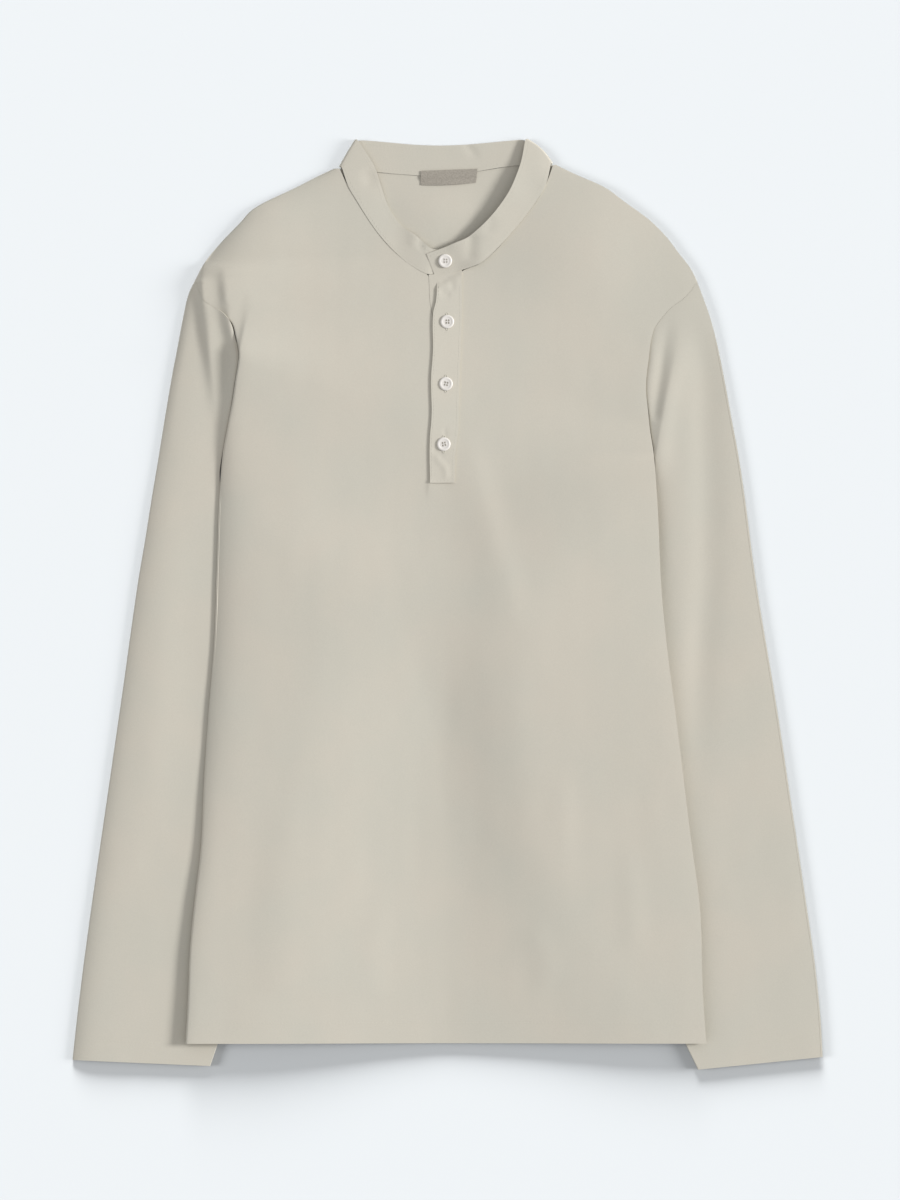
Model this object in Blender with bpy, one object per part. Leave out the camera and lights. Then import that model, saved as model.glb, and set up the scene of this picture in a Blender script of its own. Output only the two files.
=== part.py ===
"""A long-sleeved t-shirt with a band collar and a button placket, laid flat on its back.

The surface it lies on is the plane Z = 0. X runs across the body, Y from the hem to the neck
and Z up, with the origin in the middle of the garment's outline. Tables and sizes are in
millimetres, and each object is scaled to metres when it is made.

The wearer's right is at -X. The cloth is a wall. The sleeves lie on the surface, and the body,
sewn to them at the armholes, lies over their inner halves. Front and back meet along the
shoulders and the sides, and each sleeve is one tube.
"""

from math import atan2, cos, pi, radians, sin

import bmesh
import bpy
import numpy as np
from mathutils import Vector

MM = 0.001

# Driving sizes, mm
CLOTH = 1.2  # wall of the jersey
STACK = 5.4  # two layers lying on each other, with the air between them
SEAM_GAP = 0.3
NECK_GAP = 0.5  # on each side of the back neck seam, which curves between its points
OVER_SLEEVE = 6.2  # how far the body rises where a sleeve lies under it
RISE_RUN = 50.0  # width of the slope from there down to the surface
RISE_LIP = 8.0  # width of the roll of the body beside the armhole seam
FOLD_RADIUS = STACK / 2
BAND = 2.0  # wall of the collar band, two layers of jersey
BAND_COLUMNS = 6
PLACKET_CLEAR = 0.4  # between the front and the placket strip that lies on it
LABEL = 1.0
BUTTON_RADIUS = 5.7
BUTTON_HEIGHT = 2.4
BUTTON_SIDES = 20
HOLE_RADIUS = 0.8
HOLE_PITCH = 2.5

# Finish of each material: colour (linear), roughness
CLOTH_FINISH = ((0.60, 0.58, 0.52), 0.95)
BUTTON_FINISH = ((0.74, 0.71, 0.66), 0.35)
LABEL_FINISH = ((0.39, 0.36, 0.31), 0.85)

# Outline of each side from the neck down to the cuff: y, x
SILHOUETTE = {
    "right": (
        (362.7, -91.7), (356, -106), (347.5, -122.5), (326, -164), (318.5, -170.5),
        (304, -184.5), (291.5, -195.5), (281.5, -203), (270.5, -208.7), (259, -214.5),
        (245.5, -218), (225, -222), (180, -230.5), (128, -239), (86, -246), (45, -252.5),
        (3, -259.5), (-38, -265), (-80, -271), (-163, -283), (-246, -295), (-329, -306),
        (-378.5, -311.5),
    ),
    "left": (
        (365.6, 87.6), (355, 110), (348, 126.5), (333.5, 147.5), (318.5, 168), (304.5, 182),
        (292, 191.5), (279, 201.5), (268.5, 207), (255, 212), (238, 218), (217.5, 223.5),
        (194, 228.5), (169, 233), (148.5, 237), (118, 242.5), (80.5, 248), (45, 252.5),
        (3, 258.5), (-38, 265.5), (-80, 272.5), (-163, 285), (-246, 297.5), (-329, 308.5),
        (-376, 311.5),
    ),
}

# Armhole seam from the shoulder down to the underarm, then the body's side edge: y, x
BODY_EDGE = {
    "right": (
        (270.5, -208.7), (260.5, -206.3), (251.5, -202), (241.5, -186.3), (237, -182),
        (221.5, -178), (206, -174), (199, -177.5), (187.5, -180.5), (169.5, -182.2),
        (146, -186.3), (128, -189.5), (86, -189.7), (28, -191.3), (-38, -193.8),
        (-80, -199.6), (-146, -203), (-204, -205.5), (-246, -212), (-287, -213.7),
        (-329, -214.6), (-364.5, -216.2),
    ),
    "left": (
        (268.5, 207), (259, 201.3), (252.5, 194.6), (246.5, 186.3), (237.5, 178),
        (231, 173), (221.5, 169.7), (204, 167.2), (179.5, 164.8), (161, 166.4),
        (144.5, 168.1), (128, 170.6), (86, 173.9), (3, 178), (-38, 182.2), (-96, 189.7),
        (-204, 203), (-246, 208.7), (-329, 212), (-364.5, 214.6),
    ),
}

# Inner edge of each sleeve below the underarm, under the body: y, x
HIDDEN_EDGE = {
    "right": (
        (128, -189.9), (103, -190.1), (90, -186), (70, -168), (41, -139), (3, -120),
        (-38, -118), (-80, -125), (-204, -149), (-329, -179), (-383.5, -197),
    ),
    "left": (
        (128, 171.0), (103, 172.9), (90, 168), (70, 150), (41, 127), (3, 113), (-38, 118),
        (-80, 127), (-204, 151.5), (-329, 181.5), (-386.5, 208),
    ),
}

# Sections of a sleeve, from the armhole to the cuff: y of its outer end, y of its inner end,
# and how much of the armhole's curve it keeps
SLEEVE_SECTIONS = (
    (257, 124, 0.9), (238, 119, 0.75), (215, 114, 0.55), (188, 108, 0.36), (156, 99, 0.2),
    (122, 86, 0.1), (88, 68, 0.04), (54, 44, 0), (16, 10, 0), (-24, -30, 0), (-66, -72, 0),
    (-110, -115, 0), (-156, -161, 0), (-203, -208, 0), (-250, -255, 0), (-296, -301, 0),
    (-340, -345, 0),
)
CUFF_ENDS = {"right": (-378.5, -383.5), "left": (-376, -386.5)}

# Where the body starts to ride over the sleeve, below the shoulder: y
RIDE_START = {"right": 206, "left": 221}
RIDE_FULL = 140
UNDERARM = 128
CLEAR_OF_SLEEVE = 6  # the body stays up this far past a hidden edge
RIDE_WIDTH = ((221, 3), (128, 12), (103, 16))  # y, width of the ride above the hidden edge

# Neckline of the front on each side, and of the back from side to side
NECKLINE = {
    "right": (
        (273.5, -16.2), (280.5, -29.5), (293.8, -45.2), (308, -57.7), (325.4, -69.7),
        (342, -79.5), (350, -84), (362.7, -90.1),
    ),
    "left": (
        (267.3, -8.7), (273.9, 2.1), (278.9, 18.7), (289.7, 35.3), (303.8, 49.4),
        (316.2, 60.2), (324.5, 66.8), (339.1, 76.8), (350.3, 82.4), (364.5, 87.6),
    ),
}
SHOULDER_TOP = {"right": 361.5, "left": 364.5}
BACK_NECK = (
    (-90.1, 361.5), (-66, 359.4), (-54.4, 358.1), (-39.4, 356.9), (-23.7, 355.7),
    (-2, 355.4), (25.3, 359.4), (41, 361.9), (49.4, 363.3), (60.2, 364.1), (87.6, 364.5),
)

# Rows of the body, from the hem to the neck: y
HEM = -364.5
HEM_ROWS = (HEM, -358)
BODY_ROWS = np.linspace(-340, 106, 20)
UNDERARM_ROW = 118
ARMHOLE_ROWS = (131, 148, 168, 187, 205, 221.5, 237.5, 245, 251.5, 259, 266)
NECK_BASE = 274
NECK_STEPS = (0, 0.09, 0.19, 0.30, 0.43, 0.57, 0.71, 0.84, 1)

# Placket slot in the front, and the strips in and over it: y, x
SLOT_BOTTOM = 106
SLOT_LEFT_EDGE = (
    (105, -13), (139, -13.5), (187, -12), (220, -11), (235, -11.6), (243, -13.4),
    (252, -14.8), (266, -15.4), (274, -16),
)
OVER_LEFT_EDGE = (
    (101, -14.5), (139, -14.5), (155, -13.2), (187, -13.6), (211, -12), (235, -12.2),
    (242, -11.8), (251, -9.6), (266.4, -8.7),
)
OVER_RIGHT_EDGE = (
    (100, 5.8), (124, 6.6), (144, 9), (164, 9.5), (195, 10.4), (236, 11.9), (275.5, 11.9),
)
OVER_BOTTOM = 100.5
OVER_TOP = (266.6, 275.2)  # y of the upper strip's top, at its left and right edge
OVER_LAP = 3.4  # the upper strip's right edge lies this far over the front
PLACKET_ROWS = 12

# Largest folds: where they show, their path, half width and height
FOLDS = (
    ("sleeve", ((-204.5, 268), (-200.5, 213), (-194, 167)), 6, -1.6),
    ("both", ((-187, 271), (-184.5, 246), (-177, 208)), 7, -1.6),
    ("body", ((-165, 259), (-170.5, 219), (-174, 208)), 7, -1.6),
    ("both", ((188, 241), (182, 194), (174, 139)), 7, -1.5),
    ("sleeve", ((213, 230), (219.5, 139), (222, 28), (218, -196)), 14, -1.6),
    ("sleeve", ((-228, 120), (-240, -60), (-255, -250)), 18, 0.8),
    ("body", ((-17, 90), (10.5, -13), (27, -96), (43, -221)), 20, -1.2),
    ("body", ((14.5, 169), (35, 111), (56, 36)), 18, 0.9),
    ("body", ((-139, -138), (-143, -221), (-156, -337)), 16, -1.0),
    ("body", ((-106, 86), (-106, -204)), 18, 0.7),
    ("body", ((85, 3), (85, -80)), 18, -0.8),
    ("body", ((68, -254), (89, -304)), 14, -0.8),
    ("body", ((164, 128), (164, -38)), 14, 0.6),
)

# Front halves of the collar, from the fold at the shoulder to the front end. Row: share of the
# neckline's height, x and y of the free edge, and how far that edge stands up. The right half
# sinks a little into the neck, and the left half stands.
RIGHT_BAND = (
    (1.00, -74.5, 383.5, 0), (0.84, -64.3, 369.5, -0.2), (0.71, -59.3, 360.2, -0.6),
    (0.57, -55.2, 347, -1), (0.43, -50.4, 333, -1.2), (0.30, -44.6, 322, -1),
    (0.19, -36.9, 312.9, -0.5), (0.09, -26.5, 306, 0.3), (0.00, -13.5, 295, 1.2),
)
RIGHT_BAND_END = ((-7, 274.8, -4, 295, 1.6), (3, 276, 4, 294.5, 1.8))
LEFT_BAND = (
    (1.00, 64.5, 384, 0), (0.84, 61.5, 369, 3.5), (0.71, 57.6, 357, 6.5),
    (0.57, 52, 344, 9), (0.43, 44, 331.5, 10), (0.30, 35.5, 321, 9.5),
    (0.19, 27, 312.5, 7.5), (0.09, 16.5, 304, 4.5),
)
# Tab that buttons over the right-hand end: seam x and y, free edge x and y, lift of that edge
TAB = ((9.5, 276.4, 6, 299.5, 2.4), (1, 273.8, -2.1, 296, 2), (-8.9, 268, -17.4, 290.5, 2))
TAB_RISE = (0.0, 0.6, 1.6, 2.6)  # of the left half's seam edge, towards the tab

# Fold lines of the collar at the shoulders: lower end, upper end, outward direction, and how
# far the fold bulges outward between its ends
COLLAR_FOLD = {
    "right": ((-90.1, 363.3), (-76.8, 385.9), (-0.868, 0.497), 0.3),
    "left": ((87.6, 366.2), (66.4, 386.5), (0.70, 0.71), 2.2),
}
COLLAR_TOP = STACK + 0.4  # height of the collar pressed flat
# Free edge of the collar's back half: x, y
COLLAR_BACK_EDGE = (
    (-76.8, 385.4), (-61, 384.4), (-45.2, 383), (-29.5, 381.6), (-2, 380.8), (18.7, 381.8),
    (46, 384.3), (66.4, 386),
)
COLLAR_BACK_STATIONS = 11
COLLAR_BACK_ENDS = ((-80, -70), (78, 61))  # x of the seam and of the free edge at each end

LABEL_CORNERS = ((-22.2, 347.9), (23.6, 350.0), (24.8, 361.4), (-22.2, 359.7))
LABEL_COLUMNS = 8

# Buttons from the collar down: x, y
BUTTONS = ((-1.9, 284.6), (-0.2, 234.1), (-1.3, 182.6), (-3.1, 132.6))


def clear_scene():
    for old in list(bpy.data.objects):
        bpy.data.objects.remove(old, do_unlink=True)


def curve_value(rows, at):
    """The value at a key, on a smooth curve through a table's rows of key and value."""
    keys, values = np.array(sorted(rows), dtype=float).T
    slopes = np.gradient(values, keys)
    at = np.clip(at, keys[0], keys[-1])
    i = np.clip(np.searchsorted(keys, at) - 1, 0, len(keys) - 2)
    span = keys[i + 1] - keys[i]
    t = (at - keys[i]) / span
    start = values[i] * (1 + 2 * t) * (1 - t) ** 2 + slopes[i] * span * t * (1 - t) ** 2
    end = values[i + 1] * (3 - 2 * t) * t**2 - slopes[i + 1] * span * t**2 * (1 - t)
    return start + end


def stretch(rows, y):
    """Length along X that covers one unit across a slanting edge at height y."""
    step = 1.0
    slope = (curve_value(rows, y + step) - curve_value(rows, y - step)) / (2 * step)
    return np.sqrt(1 + slope**2)


def ease(t):
    t = np.clip(t, 0, 1)
    return t * t * (3 - 2 * t)


def side_rise(side, x, y):
    """Height that a sleeve under the body gives it at a place."""
    inward = 1 if side == "right" else -1
    reach = inward * (x - curve_value(BODY_EDGE[side], y))
    along = ease((RIDE_START[side] - y) / (RIDE_START[side] - RIDE_FULL))
    sleeve = inward * (curve_value(HIDDEN_EDGE[side], y) - curve_value(BODY_EDGE[side], y))
    width = np.maximum(sleeve + CLEAR_OF_SLEEVE, np.interp(y, *table_columns(RIDE_WIDTH)))
    lip = ease(reach / RISE_LIP)
    lip = lip + (1 - lip) * ease((UNDERARM + RISE_LIP - y) / RISE_LIP)
    return OVER_SLEEVE * along * lip * (1 - ease((reach - width) / RISE_RUN))


def table_columns(rows):
    return np.array(sorted(rows), dtype=float).T


def rise(x, y):
    return side_rise("right", x, y) + side_rise("left", x, y)


def distance_to_path(x, y, path):
    nearest = np.full(np.shape(x), np.inf)
    for (ax, ay), (bx, by) in zip(path, path[1:]):
        along = ((x - ax) * (bx - ax) + (y - ay) * (by - ay)) / ((bx - ax) ** 2 + (by - ay) ** 2)
        along = np.clip(along, 0, 1)
        gap = np.hypot(x - ax - along * (bx - ax), y - ay - along * (by - ay))
        nearest = np.minimum(nearest, gap)
    return nearest


def folds(place, x, y):
    """Height of the largest folds on the body or the sleeves."""
    total = np.zeros(np.shape(x))
    for where, path, half_width, height in FOLDS:
        if where in (place, "both"):
            total += height * np.exp(-((distance_to_path(x, y, path) / half_width) ** 2))
    return total


def front_top(x, y):
    """Height of the front's outer face."""
    return STACK + rise(x, y) + folds("body", x, y)


def front_inside(x, y):
    return front_top(x, y) - CLOTH


def back_bottom(x, y):
    return rise(x, y)


def back_inside(x, y):
    return rise(x, y) + CLOTH


def edge_profile(rounded):
    """Reach and drop of a panel's two faces near its outer edge, outer face first.

    A rounded edge turns down to meet the other panel halfway. A cut one ends at a seam."""
    angles = np.radians((0, 30, 60, 90))
    faces = []
    for radius in (FOLD_RADIUS, FOLD_RADIUS - CLOTH):
        reach = FOLD_RADIUS - radius * np.cos(angles)
        plain = FOLD_RADIUS * (1 - np.cos(angles))
        drop = np.minimum(radius * (1 - np.sin(angles)), radius - SEAM_GAP / 2)
        faces.append((rounded * reach + (1 - rounded) * plain, rounded * drop))
    return faces


def half_row(side, y, inner_x, inner_columns):
    """X and drop of a row's points on one side, for both faces, from the outer edge inward."""
    in_armhole = ARMHOLE_ROWS[0] <= y <= ARMHOLE_ROWS[-1]
    below = y < ARMHOLE_ROWS[-1] + 1
    table = BODY_EDGE[side] if below else SILHOUETTE[side]
    inward = 1 if side == "right" else -1
    outer_x = curve_value(table, y)
    width = inward * (inner_x - outer_x)
    scale = min(stretch(table, y), 0.5 * width / RISE_LIP)
    faces = []
    for reach, drop in edge_profile(0 if in_armhole else 1):
        reach = np.append(reach, RISE_LIP) * scale
        inner = np.linspace(reach[-1], width, inner_columns + 1)[1:]
        reach = np.concatenate([reach, inner])
        drop = np.concatenate([drop, np.zeros(inner_columns + 1)])
        faces.append((outer_x + inward * reach, drop))
    return faces


def neck_row(side, step):
    return NECK_BASE + step * (SHOULDER_TOP[side] - NECK_BASE)


def slot_right_edge(y):
    return curve_value(OVER_RIGHT_EDGE, y) - OVER_LAP


def front_inner_edge(side, y):
    """Where the front ends beside the placket or at the neckline, or below both its middle."""
    if y < NECK_BASE:
        y = max(y, SLOT_BOTTOM)
        return curve_value(SLOT_LEFT_EDGE, y) if side == "right" else slot_right_edge(y)
    outward = -1 if side == "right" else 1
    neck = NECKLINE[side]
    edge = curve_value(neck, y) + outward * SEAM_GAP * stretch(neck, y)
    return edge if side == "right" else max(edge, slot_right_edge(y))


def front_rows():
    """Heights of the front's rows, as pairs for the right and the left side."""
    below = [*HEM_ROWS, *BODY_ROWS, UNDERARM_ROW, *ARMHOLE_ROWS]
    rows = [(y, y) for y in below]
    return rows + [(neck_row("right", step), neck_row("left", step)) for step in NECK_STEPS]


def front_grids():
    """Outer and inner points of the front, a row for each height, and which cells are cloth."""
    inner_columns = 8
    outer, inner = [], []
    for right_y, left_y in front_rows():
        ends = [front_inner_edge("right", right_y), front_inner_edge("left", left_y)]
        right = half_row("right", right_y, ends[0], inner_columns)
        left = half_row("left", left_y, ends[1], inner_columns)
        for face, grid, height in ((0, outer, front_top), (1, inner, front_inside)):
            x = np.concatenate([right[face][0], [np.mean(ends)], left[face][0][::-1]])
            drop = np.concatenate([right[face][1], [0], left[face][1][::-1]])
            middle = len(right[face][0])
            y = np.full(len(x), float(right_y))
            y[middle] = (right_y + left_y) / 2
            y[middle + 1 :] = left_y
            grid.append(np.stack([x, y, height(x, y) - drop], axis=1))
    cells = np.ones((len(outer) - 1, len(outer[0]) - 1), bool)
    slot_starts = len(HEM_ROWS) + len(BODY_ROWS) - 1
    middle = len(outer[0]) // 2
    cells[slot_starts:, middle - 1 : middle + 1] = False
    return np.array(outer), np.array(inner), cells


def back_rows():
    body = [HEM, *BODY_ROWS[:14:2], *BODY_ROWS[14:], UNDERARM_ROW, *ARMHOLE_ROWS]
    return [(y, None) for y in body] + [(NECK_BASE, step) for step in NECK_STEPS]


def back_grids():
    inner_columns = 9
    outer, inner = [], []
    for row_y, step in back_rows():
        sides = []
        for side in ("right", "left"):
            y = row_y if step is None else neck_row(side, step)
            middle_x = 0.0
            sides.append((y, half_row(side, y, middle_x, inner_columns)))
        (right_y, right), (left_y, left) = sides
        for face, grid, height in ((0, outer, back_bottom), (1, inner, back_inside)):
            x = np.concatenate([right[face][0], left[face][0][-2::-1]])
            drop = np.concatenate([right[face][1], left[face][1][-2::-1]])
            if step is None:
                y = np.full(len(x), float(row_y))
            else:
                top = curve_value(BACK_NECK, x) - NECK_GAP
                top = np.where(x < BACK_NECK[0][0], SHOULDER_TOP["right"], top)
                top = np.where(x > BACK_NECK[-1][0], SHOULDER_TOP["left"], top)
                y = NECK_BASE + step * (top - NECK_BASE)
            grid.append(np.stack([x, y, height(x, y) + drop], axis=1))
    cells = np.ones((len(outer) - 1, len(outer[0]) - 1), bool)
    return np.array(outer), np.array(inner), cells


def wall(name, outer, inner, cells, finish, ring=False):
    """A closed wall between two grids of points. With ring, the columns run all the way round."""
    rows, columns = outer.shape[:2]
    around = columns if ring else columns - 1
    mesh = bmesh.new()
    used = {}

    def vertex(face, row, column):
        key = (face, row, column % columns)
        if key not in used:
            point = (outer, inner)[face][row, column % columns]
            used[key] = mesh.verts.new(Vector(point) * MM)
        return used[key]

    def is_cloth(row, column):
        if ring:
            column %= around
        inside = 0 <= row < rows - 1 and 0 <= column < around
        return inside and bool(cells[row, column])

    for row in range(rows - 1):
        for column in range(around):
            if not is_cloth(row, column):
                continue
            corners = ((row, column), (row, column + 1), (row + 1, column + 1), (row + 1, column))
            for face in (0, 1):
                mesh.faces.new([vertex(face, *corner) for corner in corners])
            beyond = ((row - 1, column), (row, column + 1), (row + 1, column), (row, column - 1))
            for i, neighbour in enumerate(beyond):
                if is_cloth(*neighbour):
                    continue
                a, b = corners[i], corners[(i + 1) % 4]
                mesh.faces.new([vertex(0, *a), vertex(0, *b), vertex(1, *b), vertex(1, *a)])
    bmesh.ops.recalc_face_normals(mesh, faces=mesh.faces)
    return finished(name, mesh, finish)


def finished(name, mesh, finish):
    data = bpy.data.meshes.new(name)
    mesh.to_mesh(data)
    mesh.free()
    data.shade_smooth()
    data.set_sharp_from_angle(angle=radians(40))
    data.materials.append(material(name, finish))
    piece = bpy.data.objects.new(name, data)
    bpy.data.collections["t_shirt"].objects.link(piece)
    return piece


def material(name, finish):
    colour, roughness = finish
    made = bpy.data.materials.new(name)
    made.use_nodes = True
    shader = made.node_tree.nodes["Principled BSDF"]
    shader.inputs["Base Color"].default_value = (*colour, 1)
    shader.inputs["Roughness"].default_value = roughness
    shader.inputs["Metallic"].default_value = 0
    return made


def armhole_line(side):
    """The sleeve's end of the armhole seam, shoulder to underarm, just clear of the body."""
    outward = -1 if side == "right" else 1
    edge = BODY_EDGE[side]
    points = []
    for y in reversed(ARMHOLE_ROWS):
        points.append((curve_value(edge, y) + outward * SEAM_GAP * stretch(edge, y), y))
    shoulder_y = edge[0][0] - SEAM_GAP
    shoulder = (curve_value(SILHOUETTE[side], shoulder_y), shoulder_y)
    underarm = (curve_value(edge, UNDERARM) + outward * SEAM_GAP * stretch(edge, UNDERARM), UNDERARM)
    return np.array(shoulder), np.array(points), np.array(underarm)


def sleeve_lines(side):
    """For each section its outer end, the points of its flat part and its inner end."""
    shoulder, seam, underarm = armhole_line(side)
    lines = [(shoulder, seam, underarm)]
    even = np.linspace(0, 1, len(seam))
    down = (seam[0, 1] - seam[:, 1]) / (seam[0, 1] - seam[-1, 1])
    bow = seam - seam[0] - np.outer(down, seam[-1] - seam[0])
    for outer_y, inner_y, kept in (*SLEEVE_SECTIONS, (*CUFF_ENDS[side], 0)):
        outer = np.array((curve_value(SILHOUETTE[side], outer_y), outer_y))
        inner = np.array((curve_value(HIDDEN_EDGE[side], inner_y), inner_y))
        along = (inner - outer) / np.linalg.norm(inner - outer)
        first, last = outer + along * FOLD_RADIUS, inner - along * FOLD_RADIUS
        share = kept * down + (1 - kept) * even
        lines.append((outer, first + np.outer(share, last - first) + kept * bow, inner))
    return lines


def sleeve_ring(outer_end, flat, inner_end):
    """One section of a sleeve: the points of its outer and inner face, all the way round."""
    fold_angles = np.radians((45, 0, -45))
    rings = []
    for radius, depth in ((FOLD_RADIUS, 0), (FOLD_RADIUS - CLOTH, CLOTH)):
        top = STACK + folds("sleeve", flat[:, 0], flat[:, 1]) - depth
        ring = [np.column_stack([flat, top])]
        for middle, end, turns in (
            (flat[-1], inner_end, fold_angles),
            (flat[0], outer_end, fold_angles[::-1]),
        ):
            out = end - middle
            length = np.linalg.norm(out)
            reach = np.outer(np.cos(turns), out / length * (length - depth))
            ring.append(np.column_stack([middle + reach, FOLD_RADIUS + radius * np.sin(turns)]))
            if turns is fold_angles:
                ring.append(np.column_stack([flat[::-1], np.full(len(flat), depth)]))
        rings.append(np.concatenate(ring))
    return rings


def make_sleeve(side):
    rings = [sleeve_ring(*line) for line in sleeve_lines(side)]
    outer = np.array([ring[0] for ring in rings])
    inner = np.array([ring[1] for ring in rings])
    cells = np.ones((len(outer) - 1, outer.shape[1]), bool)
    wall(f"sleeve_{side}", outer, inner, cells, CLOTH_FINISH, ring=True)


def collar_front(side, rows, rises):
    """Stations of one front half from its shoulder.

    A station is a seam point, a free edge point, the outer face's normal and the bulge."""
    stations = []
    for (step, x, y, lift), up in zip(rows[1:], rises):
        seam_y = neck_row(side, step)
        seam_x = curve_value(NECKLINE[side], seam_y)
        z = COLLAR_TOP - BAND / 2 + up
        stations.append(((seam_x, seam_y, z), (x, y, z + lift), (0, 0, 1), 0))
    return stations


def collar_fold(side):
    """Stations round the fold at one shoulder, from the front half to the back half."""
    (low_x, low_y), (high_x, high_y), (out_x, out_y), bulge = COLLAR_FOLD[side]
    turn_radius = (COLLAR_TOP - BAND) / 2
    stations = []
    for turn in np.radians((0, 45, 90, 135, 180)):
        inset = BAND / 2 + turn_radius * (1 - np.sin(turn))
        z = COLLAR_TOP / 2 + turn_radius * np.cos(turn)
        seam = (low_x - out_x * inset, low_y - out_y * inset, z)
        free = (high_x - out_x * inset, high_y - out_y * inset, z)
        normal = (out_x * np.sin(turn), out_y * np.sin(turn), np.cos(turn))
        stations.append((seam, free, normal, (out_x * bulge, out_y * bulge, 0)))
    return stations


def collar_back():
    stations = []
    (seam_start, free_start), (seam_end, free_end) = COLLAR_BACK_ENDS
    for t in np.linspace(0, 1, COLLAR_BACK_STATIONS):
        seam_x = seam_start + t * (seam_end - seam_start)
        free_x = free_start + t * (free_end - free_start)
        seam = (seam_x, curve_value(BACK_NECK, seam_x) + NECK_GAP, BAND / 2)
        free = (free_x, curve_value(COLLAR_BACK_EDGE, free_x), BAND / 2)
        stations.append((seam, free, (0, 0, -1), 0))
    return stations


def tab_stations(rows, rise_by):
    z = COLLAR_TOP - BAND / 2 + rise_by
    up = (0, 0, 1)
    return [((sx, sy, z), (fx, fy, z + lift), up, 0) for sx, sy, fx, fy, lift in rows]


def collar_stations():
    """All of the strip, from its covered right-hand end round the neck to its tab."""
    flat = [0.0] * len(RIGHT_BAND)
    climb = [0.0] * (len(LEFT_BAND) - 1 - len(TAB_RISE)) + list(TAB_RISE)
    stations = tab_stations(RIGHT_BAND_END[::-1], 0)
    stations += collar_front("right", RIGHT_BAND, flat)[::-1]
    stations += collar_fold("right")
    stations += collar_back()
    stations += collar_fold("left")[::-1]
    stations += collar_front("left", LEFT_BAND, climb)
    return stations + tab_stations(TAB, TAB_RISE[-1])


def make_collar():
    """A strip whose every station is a line from its seam to its free edge, with a bulge."""
    share = np.linspace(0, 1, BAND_COLUMNS)[:, None]
    outer, inner = [], []
    for seam, free, normal, bulge in collar_stations():
        line = np.array(seam) + share * (np.array(free) - np.array(seam))
        line = line + np.sin(share * pi) * np.array(bulge)
        outer.append(line + np.array(normal) * BAND / 2)
        inner.append(line - np.array(normal) * BAND / 2)
    cells = np.ones((len(outer) - 1, BAND_COLUMNS - 1), bool)
    wall("collar_band", np.array(outer), np.array(inner), cells, CLOTH_FINISH)


def strip_grid(left_edge, right_edge, rows, columns):
    """Places of a strip between two edges. Each row gives the height of its left and right end."""
    share = np.linspace(0, 1, columns)
    grid = []
    for left_y, right_y in rows:
        left_x, right_x = left_edge(left_y), right_edge(right_y)
        x = left_x + share * (right_x - left_x)
        grid.append(np.stack([x, left_y + share * (right_y - left_y)], axis=1))
    return np.array(grid)


def lay_on_front(name, places, lift):
    """A strip of cloth over the front's own surface, its underside the given height above it."""
    x, y = places[..., 0], places[..., 1]
    bottom = front_top(x, y) + lift
    cells = np.ones((places.shape[0] - 1, places.shape[1] - 1), bool)
    outer = np.dstack([x, y, bottom + CLOTH])
    wall(name, outer, np.dstack([x, y, bottom]), cells, CLOTH_FINISH)


def make_plackets():
    rows = [
        (OVER_BOTTOM + t * (OVER_TOP[0] - OVER_BOTTOM), OVER_BOTTOM + t * (OVER_TOP[1] - OVER_BOTTOM))
        for t in np.linspace(0, 1, PLACKET_ROWS)
    ]
    over = strip_grid(
        lambda y: curve_value(OVER_LEFT_EDGE, y), lambda y: curve_value(OVER_RIGHT_EDGE, y), rows, 4
    )
    lay_on_front("placket_over", over, PLACKET_CLEAR)
    under_top = NECK_BASE - 1
    slot_rows = [SLOT_BOTTOM + SEAM_GAP, UNDERARM_ROW, *ARMHOLE_ROWS, under_top]
    under = strip_grid(
        lambda y: curve_value(SLOT_LEFT_EDGE, y) + 2 * SEAM_GAP,
        lambda y: slot_right_edge(y) - 2 * SEAM_GAP,
        [(y, y) for y in slot_rows],
        3,
    )
    lay_on_front("placket_under", under, -CLOTH)


def make_label():
    """A woven label that lies on the inside of the back, its upper edge over the neck seam."""
    corners = np.array(LABEL_CORNERS, float)
    share = np.linspace(0, 1, LABEL_COLUMNS)[:, None]
    low = corners[0] + share * (corners[1] - corners[0])
    high = corners[3] + share * (corners[2] - corners[3])
    places = np.stack([low, (low + high) / 2, high])
    bottom = np.full(places.shape[:2], BAND + SEAM_GAP)
    outer = np.dstack([places, bottom + LABEL])
    cells = np.ones((2, LABEL_COLUMNS - 1), bool)
    wall("neck_label", outer, np.dstack([places, bottom]), cells, LABEL_FINISH)


def button_mesh():
    """A turned button with a raised rim, a dished middle and four holes."""
    rim, dish, edge = 0.72, 0.66, 0.5
    half = (
        (0, 0), (BUTTON_RADIUS - edge, 0), (BUTTON_RADIUS, edge),
        (BUTTON_RADIUS, BUTTON_HEIGHT - edge), (BUTTON_RADIUS - edge, BUTTON_HEIGHT),
        (BUTTON_RADIUS * rim, BUTTON_HEIGHT), (BUTTON_RADIUS * dish, BUTTON_HEIGHT - edge),
        (0, BUTTON_HEIGHT - edge),
    )
    mesh = bmesh.new()
    points = [mesh.verts.new(Vector((radius, 0, z)) * MM) for radius, z in half]
    lines = [mesh.edges.new(pair) for pair in zip(points, points[1:])]
    bmesh.ops.spin(
        mesh,
        geom=points + lines,
        cent=(0, 0, 0),
        axis=(0, 0, 1),
        angle=2 * pi,
        steps=BUTTON_SIDES,
        use_merge=True,
    )
    bmesh.ops.remove_doubles(mesh, verts=mesh.verts, dist=0.001 * MM)
    bmesh.ops.recalc_face_normals(mesh, faces=mesh.faces)
    return mesh


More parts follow.
